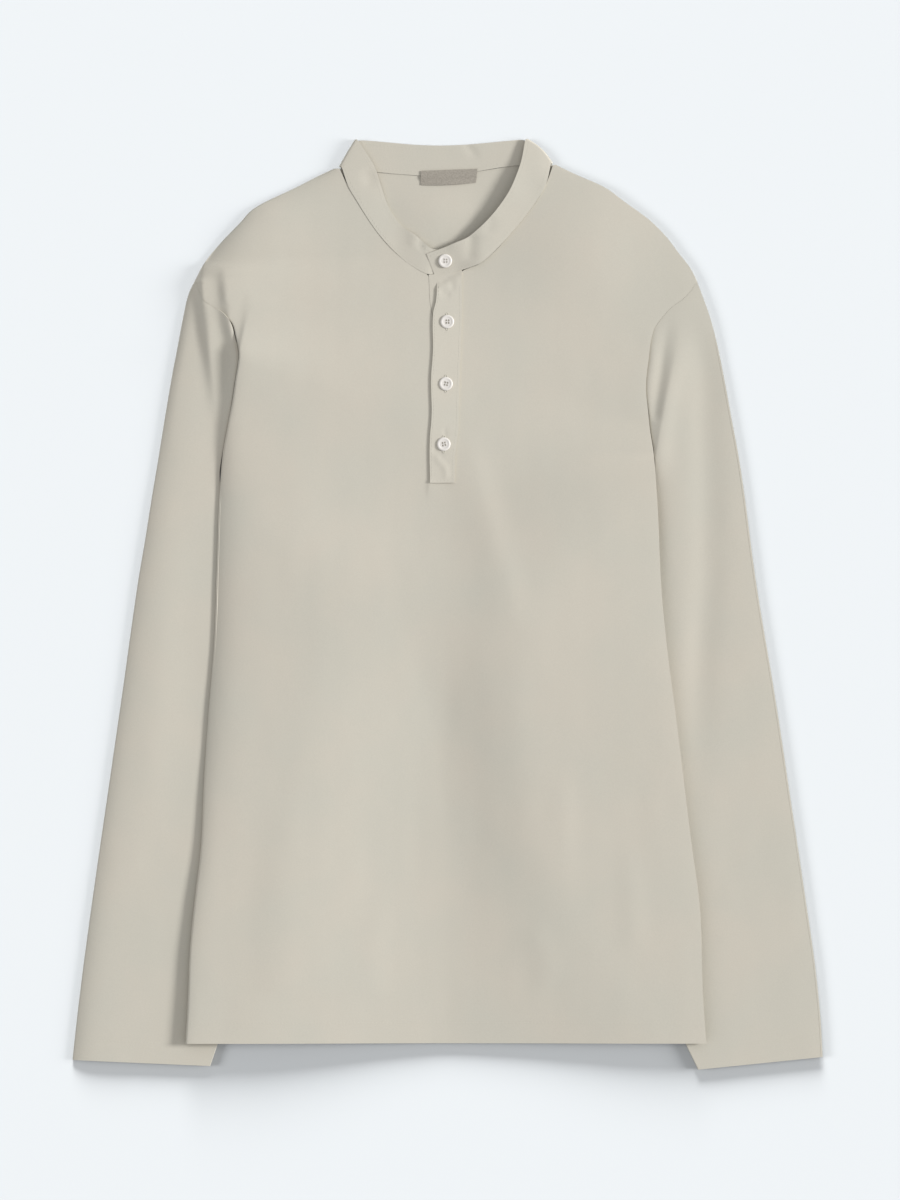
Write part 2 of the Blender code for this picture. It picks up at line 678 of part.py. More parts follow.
def hole_cutter():
    """Four pins that stand through a button."""
    mesh = bmesh.new()
    for quarter in range(4):
        angle = pi / 4 + quarter * pi / 2
        made = bmesh.ops.create_cone(
            mesh,
            cap_ends=True,
            segments=8,
            radius1=HOLE_RADIUS * MM,
            radius2=HOLE_RADIUS * MM,
            depth=3 * BUTTON_HEIGHT * MM,
        )
        reach = HOLE_PITCH / 2 * 2**0.5 * MM
        offset = Vector((cos(angle) * reach, sin(angle) * reach, 0))
        bmesh.ops.translate(mesh, verts=made["verts"], vec=offset)
    data = bpy.data.meshes.new("button_holes")
    mesh.to_mesh(data)
    mesh.free()
    cutter = bpy.data.objects.new("button_holes", data)
    cutter.hide_render = True
    cutter.display_type = "WIRE"
    bpy.data.collections["cutters"].objects.link(cutter)
    return cutter


def button_seats():
    """Where each button sits: its place, and the tilt of the cloth under it towards +Y."""
    lift = TAB[1][-1]
    seam, free, _, _ = tab_stations(TAB, TAB_RISE[-1])[1]
    tilt = atan2(lift, free[1] - seam[1])
    x, y = BUTTONS[0]
    along = (y - seam[1]) / (free[1] - seam[1])
    on_tab = seam[2] + along * (free[2] - seam[2]) + BAND / 2 + SEAM_GAP
    seats = [((x, y, on_tab), tilt)]
    for x, y in BUTTONS[1:]:
        seats.append(((x, y, front_top(x, y) + PLACKET_CLEAR + CLOTH + SEAM_GAP), 0.0))
    return seats


def make_buttons():
    cutter = hole_cutter()
    for number, ((x, y, z), tilt) in enumerate(button_seats(), start=1):
        button = finished(f"button_{number}", button_mesh(), BUTTON_FINISH)
        holes = button.modifiers.new("holes", "BOOLEAN")
        holes.operation = "DIFFERENCE"
        holes.object = cutter_at(cutter, number, (x, y, z), tilt)
        button.location = Vector((x, y, z)) * MM
        button.rotation_euler = (tilt, 0, 0)


def cutter_at(cutter, number, place, tilt):
    placed = cutter if number == 1 else cutter.copy()
    if number > 1:
        bpy.data.collections["cutters"].objects.link(placed)
    placed.location = Vector(place) * MM
    placed.rotation_euler = (tilt, 0, 0)
    return placed


def main():
    clear_scene()
    for name in ("t_shirt", "cutters"):
        bpy.context.scene.collection.children.link(bpy.data.collections.new(name))
    wall("front", *front_grids(), CLOTH_FINISH)
    wall("back", *back_grids(), CLOTH_FINISH)
    make_sleeve("right")
    make_sleeve("left")
    make_collar()
    make_plackets()
    make_label()
    make_buttons()


main()
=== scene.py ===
"""Looks of a long-sleeved t-shirt with a band collar and a button placket, laid flat.

Tables and sizes are in millimetres unless they say otherwise, in the frame of the solids: the
surface is the plane Z = 0, X runs across the body and Y from the hem to the neck. A mesh is
scaled to metres when it is made. The wearer's right is at -X. Each cloth shell has the form of
its solid, on a finer grid, with its creases laid in as soft troughs and ridges.
"""

from math import cos, pi, radians, sin

import bpy
import numpy as np
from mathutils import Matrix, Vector

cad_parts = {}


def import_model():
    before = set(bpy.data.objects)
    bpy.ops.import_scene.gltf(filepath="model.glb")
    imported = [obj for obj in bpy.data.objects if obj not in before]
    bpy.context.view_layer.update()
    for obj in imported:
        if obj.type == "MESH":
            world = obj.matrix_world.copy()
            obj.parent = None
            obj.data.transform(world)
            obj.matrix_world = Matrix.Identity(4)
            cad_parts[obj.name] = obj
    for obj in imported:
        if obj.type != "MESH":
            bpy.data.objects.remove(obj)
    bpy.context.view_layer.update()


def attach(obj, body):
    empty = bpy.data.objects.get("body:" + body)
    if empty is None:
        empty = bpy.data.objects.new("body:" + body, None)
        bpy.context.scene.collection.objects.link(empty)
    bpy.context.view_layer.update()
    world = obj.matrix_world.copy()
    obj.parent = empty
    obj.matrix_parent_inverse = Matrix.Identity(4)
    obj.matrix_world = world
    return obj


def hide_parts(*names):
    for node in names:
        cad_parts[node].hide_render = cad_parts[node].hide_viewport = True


MM = 0.001

# Thicknesses, heights and gaps
CLOTH = 1.2  # wall of the jersey
STACK = 5.4  # two layers lying on each other, with the air between them
SEAM_GAP = 0.1
NECK_GAP = 0.12
OVER_SLEEVE = 6.2  # how far the body rises where a sleeve lies under it
FOLD_RADIUS = STACK / 2
SIDE_SEAM = {"right": 1.5, "left": FOLD_RADIUS}  # height of the body's edges over what is under
BAND = 2.0  # wall of the collar band
PLACKET_CLEAR = 0.15  # between the front and the strip over it
LABEL_CLOTH = 0.6
COLLAR_TOP = STACK + 0.4  # outer face of the band where it lies flat

INWARD = {"right": 1, "left": -1}  # sign of the way along X from a side to the middle

# Outline of each side from the neck down to the cuff: y, x
SILHOUETTE = {
    "right": (
        (362.7, -91.7), (356, -106), (347.5, -122.5), (326, -164), (318.5, -170.5),
        (304, -184.5), (291.5, -195.5), (281.5, -203), (270.5, -208.7), (259, -214.5),
        (245.5, -218), (225, -222), (180, -230.5), (128, -239), (86, -246), (45, -252.5),
        (3, -259.5), (-38, -265), (-80, -271), (-163, -283), (-246, -295), (-329, -306),
        (-378.5, -311.5),
    ),
    "left": (
        (365.6, 87.6), (355, 110), (348, 126.5), (333.5, 147.5), (318.5, 168), (304.5, 182),
        (292, 191.5), (279, 201.5), (268.5, 207), (255, 212), (238, 218), (217.5, 223.5),
        (194, 228.5), (169, 233), (148.5, 237), (118, 242.5), (80.5, 248), (45, 252.5),
        (3, 258.5), (-38, 265.5), (-80, 272.5), (-163, 285), (-246, 297.5), (-329, 308.5),
        (-376, 311.5),
    ),
}

# Armhole seam from the shoulder down to the underarm, then the body's side edge: y, x
BODY_EDGE = {
    "right": (
        (270.5, -208.7), (260.5, -206.3), (251.5, -202), (241.5, -186.3), (237, -182),
        (221.5, -176), (206, -173), (199, -173.8), (187.5, -175.8), (169.5, -178.5),
        (146, -182.8), (128, -186), (86, -189.2), (28, -191.3), (-38, -193.8),
        (-80, -197.5), (-146, -202), (-204, -204.8), (-246, -209.8), (-287, -213.7),
        (-329, -215.4), (-364.5, -217.3),
    ),
    "left": (
        (268.5, 207), (259, 201.3), (252.5, 194.6), (246.5, 186.3), (237.5, 178),
        (231, 173), (221.5, 169.7), (204, 167.2), (179.5, 164.8), (161, 166.4),
        (144.5, 168.1), (128, 170.6), (86, 173.9), (3, 178), (-38, 182.2), (-96, 189.7),
        (-204, 203), (-246, 208.7), (-329, 212), (-364.5, 214.6),
    ),
}

# Inner edge of each sleeve below the underarm, under the body: y, x
HIDDEN_EDGE = {
    "right": (
        (128, -186.4), (103, -188.8), (90, -185.5), (70, -168), (41, -139), (3, -120),
        (-38, -118), (-80, -125), (-204, -149), (-329, -179), (-383.5, -197),
    ),
    "left": (
        (128, 171.0), (103, 171.4), (90, 167), (70, 150), (41, 127), (3, 113), (-38, 118),
        (-80, 127), (-204, 151.5), (-329, 181.5), (-386.5, 208),
    ),
}

# Sections of a sleeve, from the armhole to the cuff: y of its outer end, y of its inner end,
# and how much of the armhole's curve it keeps
SLEEVE_SECTIONS = (
    (257, 124, 0.9), (238, 119, 0.75), (215, 114, 0.55), (188, 108, 0.36), (156, 99, 0.2),
    (122, 86, 0.1), (88, 68, 0.04), (54, 44, 0), (16, 10, 0), (-24, -30, 0), (-66, -72, 0),
    (-110, -115, 0), (-156, -161, 0), (-203, -208, 0), (-250, -255, 0), (-296, -301, 0),
    (-340, -345, 0),
)
CUFF_ENDS = {"right": (-378.5, -383.5), "left": (-376, -386.5)}

UNDERARM = 128
# The body's rise over a sleeve: y where it starts and where it is full, how much longer that
# slope gets for each unit inward from the edge, and its least width, by y
RIDE = {"right": (240, 202), "left": (150, 98)}
RIDE_SPREAD = 0.35
RIDE_WIDTH = ((221, 3), (128, 12), (103, 16))
# Slope from there down to the middle. Row: y, how much higher than the least that clears the
# sleeve, how far beyond the sleeve it begins, its width
BACK_SLOPE = {"right": ((0, 0, 6, 50),), "left": ((0, 0, 6, 50),)}
FRONT_SLOPE = {
    "right": (
        (-364.5, 2.4, 6, 190), (-200, 1.1, 4, 140), (-80, 2.0, 4, 128), (60, 1.5, 4, 170),
        (130, 1.0, 4, 290), (170, 0.7, 4, 340), (206, 0.5, 4, 380),
    ),
    "left": (
        (-364.5, 0, 6, 190), (-280, 0.3, 42, 130), (-200, 0.8, 70, 83), (-80, 1.4, 62, 83),
        (0, 1.0, 30, 130), (60, 0.8, 6, 185), (130, 0.6, 6, 260),
    ),
}

# Neckline of the front on each side, and of the back from side to side
NECKLINE = {
    "right": (
        (273.5, -16.2), (280.5, -29.5), (293.8, -45.2), (308, -57.7), (325.4, -69.7),
        (342, -79.5), (350, -84), (362.7, -90.1),
    ),
    "left": (
        (267.3, -8.7), (273.9, 2.1), (278.9, 18.7), (289.7, 35.3), (303.8, 49.4),
        (316.2, 60.2), (324.5, 66.8), (339.1, 76.8), (350.3, 82.4), (364.5, 87.6),
    ),
}
SHOULDER_TOP = {"right": 361.5, "left": 364.5}
BACK_NECK = (
    (-90.1, 361.5), (-66, 359.4), (-54.4, 358.1), (-39.4, 356.9), (-23.7, 355.7),
    (-2, 355.4), (25.3, 359.4), (41, 361.9), (49.4, 363.3), (60.2, 364.1), (87.6, 364.5),
)

HEM = -364.5
ARMHOLE = (131, 266)  # y of its lowest and highest row
ARMHOLE_CUT = {"right": (236, 266), "left": (131, 266)}  # where the panel ends in an open seam
CUT_FADE = (8, 6)  # over which a fold turns into that seam, below and above
FULL_EDGE = 16  # width of half a row under which its edge's form shrinks
NECK_BASE = 274

# Placket slot in the front, and the strips in and over it: y, x. Here left and right are as seen
# from above, so a left edge is the one at the lower X
SLOT_BOTTOM = 106
SLOT_LEFT_EDGE = (
    (105, -13), (139, -13.5), (187, -12), (220, -11), (235, -11.6), (243, -13.4),
    (252, -14.8), (266, -15.4), (274, -16),
)
OVER_LEFT_EDGE = (
    (101, -14.5), (139, -14.5), (155, -13.2), (187, -13.6), (211, -12), (235, -12.2),
    (242, -11.8), (251, -9.6), (266.4, -8.7),
)
OVER_RIGHT_EDGE = (
    (100, 5.8), (124, 6.6), (144, 9), (164, 9.5), (195, 10.4), (236, 11.9), (275.5, 11.9),
)
OVER_BOTTOM = 100.5
OVER_TOP = (268.4, 280)
UNDER_TOP = (273.3, 275.2)
OVER_LAP = 3.4  # how far the upper strip reaches over the front beside it
PLACKET_LEAN = 0.006  # how much its face rises for each unit away from its right-hand edge
TUCK = 1.5  # how far its end sinks under the collar's tab
TUCK_ROWS = (0.955, 0.995)  # shares of its length where it starts to sink and has sunk

OVER_GRID, UNDER_GRID = (90, 16), (60, 8)  # rows and columns of points of the two strips

COLLAR_STEP = 1.2  # how far the left half stands above the front at its seam
COLLAR_LEAN = 0.56  # share of the lifts in LEFT_BAND that the pressed band keeps

# Front halves of the collar, from the fold at the shoulder to the front end. Row: share of the
# neckline's height, x and y of the free edge, and how far that edge stands up. The covered end
# and the tab, below, have rows of the seam's x and y, the free edge's x and y, and its lift.
RIGHT_BAND = (
    (1.00, -74.5, 383.5, 0), (0.84, -64.3, 369.5, -0.2), (0.71, -59.3, 360.2, -0.6),
    (0.57, -55.2, 347, -1), (0.43, -50.4, 333, -1.2), (0.30, -44.6, 322, -1),
    (0.19, -36.9, 312.9, -0.5), (0.09, -26.5, 306, 0.6), (0.00, -13.5, 295, 0.9),
)
RIGHT_BAND_RISE = (0.0,) * (len(RIGHT_BAND) - 3) + (0.3, 0.6)
RIGHT_BAND_END = ((-7, 274.8, -4, 295, 0.6), (3, 276, 4, 294.5, 0.4))
LEFT_BAND = (
    (1.00, 64.5, 384, 0), (0.84, 61.5, 369, 3.5), (0.71, 57.6, 357, 6.5),
    (0.57, 52, 344, 9), (0.43, 44, 331.5, 10), (0.30, 35.5, 321, 9.5),
    (0.19, 27, 312.5, 7.5), (0.09, 16.5, 304, 4.5),
)
TAB = ((9.5, 276.4, 6, 299.5, 2.4), (1, 273.8, -2.1, 296, 1.7), (-8.9, 268, -17.4, 290.5, 1.1))
TAB_RISE = 1.9  # how high the tab lies over the end that it covers
LEFT_BAND_RISE = (0.0,) * (len(LEFT_BAND) - 4) + (0.5, 1.2, TAB_RISE)
TAB_THIN = 0.4  # share of the band's thickness that is pressed out of the tab's end
TAB_THIN_STATIONS = 12
COLLAR_BETWEEN = 5  # stations made for each one listed
COLLAR_ACROSS = (0, 0.008, 0.02, 0.06, *np.linspace(0.12, 0.88, 12), 0.94, 0.98, 0.992, 1)
COLLAR_EDGE = (0.02, 0.03)  # shares of its width and thickness that the rounded edges take

# Fold lines of the collar at the shoulders: lower end, upper end, outward direction, and how
# far the fold bulges outward between its ends
COLLAR_FOLD = {
    "right": ((-90.1, 363.3), (-76.8, 385.9), (-0.868, 0.497), 0.3),
    "left": ((87.6, 366.2), (66.4, 386.5), (0.70, 0.71), 2.2),
}
COLLAR_BACK_EDGE = (
    (-76.8, 385.4), (-61, 384.4), (-45.2, 383), (-29.5, 381.6), (-2, 380.8), (18.7, 381.8),
    (46, 384.3), (66.4, 386),
)
COLLAR_BACK_STATIONS = 11
COLLAR_BACK_ENDS = ((-80, -70), (78, 61))

LABEL_CORNERS = ((-22.2, 347.9), (23.6, 350.0), (24.8, 361.4), (-22.2, 359.7))
LABEL_BOW, LABEL_LIFT = 0.8, 0.7  # how far its lower edge hangs and stands off in the middle
LABEL_ON_BAND = (0.25, 0.55)  # shares of its height between which it climbs onto the band
LABEL_GRID = (33, 12)  # its columns and rows of points

# Buttons from the collar down: x, y. Each is turned a little differently
BUTTONS = ((-1.9, 284.6), (-0.2, 234.1), (-1.3, 182.6), (-3.1, 132.6))
BUTTON_TURNS = (0.785, 0.75, 0.55, 1.0)
BUTTON_PROFILE = (  # radius and height, from the flat middle over the rim to the underside
    (3.1, 1.1), (3.4, 1.14), (3.75, 1.27), (4.15, 1.4), (4.6, 1.44), (5.05, 1.36), (5.4, 1.12),
    (5.62, 0.85), (5.7, 0.58), (5.6, 0.32), (5.35, 0.1), (5.0, 0.0), (0.0, 0.0),
)
BUTTON_FLAT = 2.9  # radius of the middle that the holes are in
BUTTON_SIDES, BUTTON_FLAT_RINGS = 96, 25
BUTTON_RIM_RINGS = 5  # rows of the profile that are still on the upper face
EYE_RADIUS, EYE_BEVEL, EYE_DEPTH, EYE_FROM_MIDDLE = 0.86, 0.14, 1.0, 1.45
OVER_TAB = 0.5  # from the tab's face to the first button
HOLE_LENGTH, HOLE_WIDTH = 14.5, 1.9  # of a buttonhole
HOLE_THREAD = (0.42, 0.28)  # half width and half height of the thread round it
HOLE_RAISED = 0.05  # how high the middle of that thread lies over the strip
HOLE_STEPS, THREAD_SIDES = 56, 8
HEM_DEPTH = 17.0  # from a hem's edge to its stitch line
EDGE_STITCH = 1.7  # from the upper strip's edge to its stitch line
FOOT_STITCH = 2  # the same at its foot
SIDE_STITCH_END = 4  # how far below its top the lines along its edges end
SIDE_STITCH_POINTS = 60
HEM_RUN_INSET = {"right": 2.5, "left": 1.5}  # from the body's edges to the hem's stitch line
CUFF_RUN_INSET = (2.5, 3)  # from a cuff's outline and from the body's edge to its stitch line
CUFF_RUN_EDGE = -360  # y where the body's edge is taken for that
COLLAR_RUN_COLUMNS = (4, -5)  # columns of the band's grid that its stitch lines follow
SHORTEST_RUN = 3  # a stitch line with no more points than this is left out

# How far a panel's upper face sinks towards its edges. Row: y, depth, width
FRONT_ROLL = {
    "right": (
        (-364.5, 0.8, 3), (-290, 1.6, 5), (-200, 3.0, 7), (-120, 5.4, 11), (0, 6.2, 14),
        (86, 5.5, 12), (119, 4, 8), (136, 2.4, 5), (150, 1.2, 4), (206, 0.8, 3), (252, 0.6, 3),
        (262, 1.4, 5), (268, 3.8, 9), (300, 5.4, 9), (330, 4.4, 8), (350, 2.9, 6),
        (370, 2.6, 6),
    ),
    "left": (
        (-364.5, 0.2, 6), (-80, 0.3, 8), (-20, 1.0, 22), (60, 1.9, 28), (150, 1.5, 28),
        (220, 0.4, 12), (370, 0.4, 6),
    ),
}
BACK_ROLL = {"right": ((0, 0.8, 8),), "left": ((0, 0.3, 6),)}
SLEEVE_ROLL = {"right": ((0, 3.5, 8.5),), "left": ((0, 0.3, 8),)}
SLEEVE_FULL = {"right": 0.9, "left": 0.0}  # how much fuller than flat beside its outline
SLEEVE_FULL_WIDTH = 55
FOLD_REACH = {"right": 1.2, "left": 0.12}  # how far a fold's round edge reaches inward
INNER_REACH = {"right": 0.3, "left": 0.5}  # the same for a sleeve's fold under the body
UNDERCUT = {"right": 0.0, "left": 3.0}  # how far a tube's underside lies back from its edge
UNDERCUT_WIDTH = 20
# Valley along an armhole seam, on each of its two panels: depth at the shoulder, at the underarm
SEAM_DIP = {
    "body": {"right": (0.15, 0.3), "left": (0.1, 0.1)},
    "sleeve": {"right": (0.15, 0.3), "left": (0.15, 1.0)},
}
SEAM_DIP_WIDTH = 3.0
SEAM_DIP_DEEPENS = (250, 200)  # y where it starts to deepen and where it is deepest

# Two folds run over the right-hand armhole seam, on the body and on the sleeve alike
ARMHOLE_FOLD = (
    (-186, 280), (-185.2, 271), (-182.6, 247), (-179.8, 232), (-176, 214), (-174.2, 203),
)
SHOULDER_FOLD = (
    (-203, 284), (-202.5, 264), (-201, 247), (-198.6, 228), (-195.6, 200), (-192.6, 172),
    (-190.5, 145),
)
FOLD_BELOW = ((-176.5, 185), (-180.5, 160), (-186, 128), (-190, 95))  # on along the body's edge

# Creases by place. Row: path, half width on the left of its direction, the same on its right,
# height, share of the path over which each end fades. A width with a second number is sharper
SOFT, CRISP = 2.0, 1.15
CREASE_REACH = 3.5  # half widths beyond which a crease isn't worked out
CREASE_BETWEEN = 6  # points made for each one listed
CREASES = {
    "sleeve": (
        (SHOULDER_FOLD, 34, 5.5, 4.8, (0.02, 0.55)),
        ((*ARMHOLE_FOLD, *FOLD_BELOW), 12, (6, 1.8), 5.2, (0.14, 0.35)),
        (((192, 246), (190, 213), (184.5, 186), (180.3, 165), (176, 140), (173, 120), (172, 96)),
         10, (5, 1.4), 1.6, (0.4, 0.22)),
        (((184, 240), (180, 213), (177, 190), (173.5, 167), (171.5, 150)),
         4.5, 5, -1.0, (0.4, 0.15)),
        (((166, 190), (168, 144), (173, 95), (177, 20), (182, -38)),
         (5, CRISP), 6, -1.2, (0.3, 0.5)),
        (((172, 110), (178, 3), (189.7, -96), (203, -204), (208.7, -246), (212, -329), (214, -364)),
         (8, 1.5), 6, -1.0, (0.1, 0.02)),
        (((210, 236), (214, 190), (215, 139), (215, 28), (209, -80), (210, -196)),
         14, 12, -1.5, (0.2, 0.3)),
        (((-228, 120), (-240, -60), (-255, -250)), 18, 18, 0.7, (0.3, 0.4)),
    ),
    "body": (
        (((-162, 262), (-164, 254), (-167, 236), (-170, 221), (-173, 206), (-175.5, 186),
          (-178, 166)),
         50, (2.3, 1.4), 1.6, (0.6, 0.4)),
        (SHOULDER_FOLD, 60, 5.5, 4.8, (0.02, 0.55)),
        ((*ARMHOLE_FOLD, (-174.5, 185), (-176.5, 160), (-180, 130)),
         110, (4.5, 1.6), 3.2, (0.2, 0.5)),
        (((10, 150), (28, 85), (48, 15), (58, -30)), 13, 20, 1.1, (0.25, 0.4)),
        (((-135.5, -150), (-137.5, -250), (-139, -330)), 60, 16, 0.9, (0.4, 0.15)),
        (((-58, -235), (-66, -330)), 14, 12, 0.45, (0.4, 0.2)),
        (((96, -130), (98, -240)), 9, 14, 0.5, (0.4, 0.4)),
        (((150, -190), (156, -300)), 10, 10, 0.45, (0.4, 0.4)),
        (((68, -262), (92, -318)), 9, 14, 0.5, (0.3, 0.3)),
        (((-14.5, 103), (-16, 88)), 9, 2.2, 0.5, (0.1, 0.6)),
    ),
    "under": (
        (((-120, 210), (-60, 60), (-70, -120)), 9, 14, 1.3, (0.3, 0.3)),
        (((95, 190), (40, 40), (55, -90), (20, -210)), 13, 8, 1.1, (0.25, 0.35)),
        (((110, -40), (96, -180), (102, -300)), 10, 10, 0.9, (0.3, 0.3)),
        (((-30, -150), (-48, -320)), 12, 7, 1.0, (0.3, 0.2)),
        (((-222, 170), (-205, 60), (-228, -70)), 7, 10, 1.0, (0.3, 0.3)),
        (((-232, -120), (-252, -300)), 9, 6, 0.8, (0.3, 0.4)),
        (((214, 190), (196, 70), (216, -60)), 10, 7, 1.0, (0.3, 0.3)),
        (((262, -90), (240, -280)), 7, 9, 0.8, (0.4, 0.3)),
    ),
    "placket": (
        (((-6, 267.5), (0, 268.5), (4, 265.5)), 1.6, 1.8, -0.5, (0.25, 0.3)),
        (((-7, 259), (-1, 257), (3, 256)), 2.2, 2.2, -0.5, (0.3, 0.4)),
        (((4.5, 271), (4, 258)), 1.8, 2, -0.35, (0.3, 0.4)),
        (((-12, 130), (-8, 125.5), (-2, 122.5)), 1.6, 2, -0.4, (0.2, 0.3)),
        (((-11, 124), (-6, 117), (0, 111)), 3, 2.2, 0.45, (0.3, 0.3)),
        (((-1, 114), (-1.5, 103)), 2.5, 2.5, 0.35, (0.3, 0.3)),
        (((-2.5, 146), (-2, 139)), 1.4, 1.2, -0.4, (0.3, 0.1)),
    ),
    "collar": (
        (((20, 307), (18, 284)), 5, 4, -0.9, (0.2, 0.25)),
        (((37, 322), (33, 306)), 5, 4, -0.45, (0.3, 0.3)),
        (((-19.5, 304.5), (-24.5, 293)), 1.8, 1.5, -0.8, (0.25, 0.3)),
        (((-27, 307), (-31, 297)), 2.5, 2.5, 0.4, (0.3, 0.3)),
        (((-68, 362), (-62, 345)), 6, 6, -0.6, (0.3, 0.4)),
        (((8, 398), (16, 382), (26, 368)), 3, 3, -0.6, (0.2, 0.3)),
    ),
}

# Broad mounds. Row: x, y, half widths towards -X, +X, -Y and +Y, height
MOUNDS = {
    "body": (
        (112, 300, 70, 45, 60, 45, 4.2), (-172, 307, 34, 50, 36, 45, 3.6),
        (10, 0, 110, 110, 65, 60, 3.0), (-60, 236, 85, 130, 60, 50, 2.0),
    ),
    "neck": ((-12, 322, 40, 45, 50, 22, 3.0),),
}
UNEVEN = ((0.08, 30, 90, 3), (0.04, 13, 24, 4))  # height, patch sizes along X and Y, seed
PATCHES = 160  # along each side of the field that they are taken from, the origin in its middle

# Columns of points across each grid, and rows along it
FRONT_COLUMNS, BACK_COLUMNS, SLEEVE_COLUMNS = 72, 44, 82
FRONT_STEP, BACK_STEP = 3.9, 7  # between rows of the body
HEM_ROWS, EVEN_ROWS = (0, 0.5, 1.6), 4  # rows close to the hem, and where even ones start over it
BRIDGE_COLUMNS = 6  # across the placket's foot
NECK_ROWS = 27
SLEEVE_BETWEEN = 9  # rings made for each section listed
FOLD_TURNS = np.radians((0, 20, 40, 60, 76))
SLEEVE_TURNS = np.radians((60, 30, 0, -30, -60))
SHARP_FROM = radians(50)  # angle between faces from which their edge is sharp

STITCH = 2.1
STITCH_PITCH = 3.0
STITCH_WIDTH = 0.5
STITCH_SHAPE = (  # share along it, share of its width, height
    (0, 0.3, -0.2), (0.15, 0.9, -0.06), (0.5, 1, 0.0), (0.85, 0.9, -0.06), (1, 0.3, -0.2),
)
STITCH_FLAT = 0.6  # height of its section against its width
STITCH_SIDES = 6


def between(t, start, end, start_slope, end_slope):
    """A smooth curve's value, t from 0 at its start to 1 at its end."""
    first = start * (1 + 2 * t) * (1 - t) ** 2 + start_slope * t * (1 - t) ** 2
    return first + (end * (3 - 2 * t) * t**2 - end_slope * t**2 * (1 - t))


def curve_value(rows, at):
    """The value at a key, on a smooth curve through a table's rows of key and value."""
    keys, values = np.array(sorted(rows), dtype=float).T
    slopes = np.gradient(values, keys)
    at = np.clip(at, keys[0], keys[-1])
    i = np.clip(np.searchsorted(keys, at) - 1, 0, len(keys) - 2)
    span = keys[i + 1] - keys[i]
    t = (at - keys[i]) / span
    return between(t, values[i], values[i + 1], slopes[i] * span, slopes[i + 1] * span)


def stretch(rows, y):
    """Length along X that covers one unit across a slanting edge at height y."""
    step = 1.0
    slope = (curve_value(rows, y + step) - curve_value(rows, y - step)) / (2 * step)
    return np.sqrt(1 + slope**2)


def ease(t):
    """0 to 1 with a soft start and end."""
    t = np.clip(t, 0, 1)
    return t * t * (3 - 2 * t)


def by_height(rows, y):
    """The values of a table at heights y, each of its rows being y and the values there."""
    keys, *values = np.array(sorted(rows), dtype=float).T
    return [np.interp(y, keys, value) for value in values]


def side_rise(side, x, y, slope):
    """Height that a sleeve under the body gives it at a place."""
    inward = INWARD[side]
    reach = inward * (x - curve_value(BODY_EDGE[side], y))
    start, full = RIDE[side]
    longer = RIDE_SPREAD * np.maximum(reach, 0)
    along = ease((start + longer - y) / (start - full + 2 * longer))
    sleeve = inward * (curve_value(HIDDEN_EDGE[side], y) - curve_value(BODY_EDGE[side], y))
    higher, clear, run = by_height(slope[side], y)
    (width,) = by_height(RIDE_WIDTH, y)
    width = np.maximum(sleeve + clear, width)
    return (OVER_SLEEVE + higher) * along * (1 - ease((reach - width) / run))


def rise(x, y, slope):
    """Height that both sleeves give the body."""
    return side_rise("right", x, y, slope) + side_rise("left", x, y, slope)


def mounds(place, x, y):
    """Height of the broad mounds of a place."""
    total = 0
    for at_x, at_y, west, east, south, north, height in MOUNDS[place]:
        across, along = x - at_x, y - at_y
        across = across / np.where(across < 0, west, east)
        along = along / np.where(along < 0, south, north)
        total = total + height * np.exp(-(across**2) - along**2)
    return total


def smooth_rows(rows, times):
    """Rows of numbers with more rows between them, on smooth curves through all of them."""
    rows = np.asarray(rows, dtype=float)
    before = np.concatenate([rows[:1], rows[:-1]])
    after = np.concatenate([rows[1:], rows[-1:]])
    slopes = (after - before) / 2
    shares = np.arange(times) / times
    made = [between(t, rows[:-1], rows[1:], slopes[:-1], slopes[1:]) for t in shares]
    return np.concatenate([np.stack(made, axis=1).reshape(-1, *rows.shape[1:]), rows[-1:]])


def from_path(x, y, path):
    """Distance to a path, positive on the left of its direction, and the share along it."""
    nearest = np.full(x.shape, np.inf)
    signed, share = np.zeros(x.shape), np.zeros(x.shape)
    count = len(path) - 1
    for i, ((ax, ay), (bx, by)) in enumerate(zip(path, path[1:])):
        dx, dy = bx - ax, by - ay
        along = np.clip(((x - ax) * dx + (y - ay) * dy) / (dx * dx + dy * dy), 0, 1)
        gap_x, gap_y = x - ax - along * dx, y - ay - along * dy
        gap = np.hypot(gap_x, gap_y)
        closer = gap < nearest
        nearest = np.where(closer, gap, nearest)
        signed = np.where(closer, np.where(dx * gap_y > dy * gap_x, gap, -gap), signed)
        share = np.where(closer, (i + along) / count, share)
    return signed, share


def crease(row, x, y):
    """Height of one crease, worked out only near its path."""
    path, *widths, height, (start, end) = row
    widths = [width if isinstance(width, tuple) else (width, SOFT) for width in widths]
    (left_width, left_power), (right_width, right_power) = widths
    path = smooth_rows(path, CREASE_BETWEEN)
    margin = CREASE_REACH * max(left_width, right_width)
    low, high = path.min(axis=0) - margin, path.max(axis=0) + margin
    near = (x > low[0]) & (x < high[0]) & (y > low[1]) & (y < high[1])
    total = np.zeros(x.shape)
    signed, share = from_path(x[near], y[near], path)
    width = np.where(signed > 0, left_width, right_width)
    power = np.where(signed > 0, left_power, right_power)
    fade = ease(share / start) * ease((1 - share) / end)
    total[near] = height * fade * np.exp(-((np.abs(signed) / width) ** power))
    return total


def unevenness(x, y, size_x, size_y, seed):
    """Smooth random heights of about 1, on patches of the given size."""
    values = np.random.default_rng(seed).normal(size=(PATCHES, PATCHES))
    u, v = x / size_x + PATCHES / 2, y / size_y + PATCHES / 2
    i, j = np.floor(u).astype(int), np.floor(v).astype(int)
    s, t = ease(u - i), ease(v - j)
    low = values[i, j] * (1 - s) + values[i + 1, j] * s
    high = values[i, j + 1] * (1 - s) + values[i + 1, j + 1] * s
    return low * (1 - t) + high * t


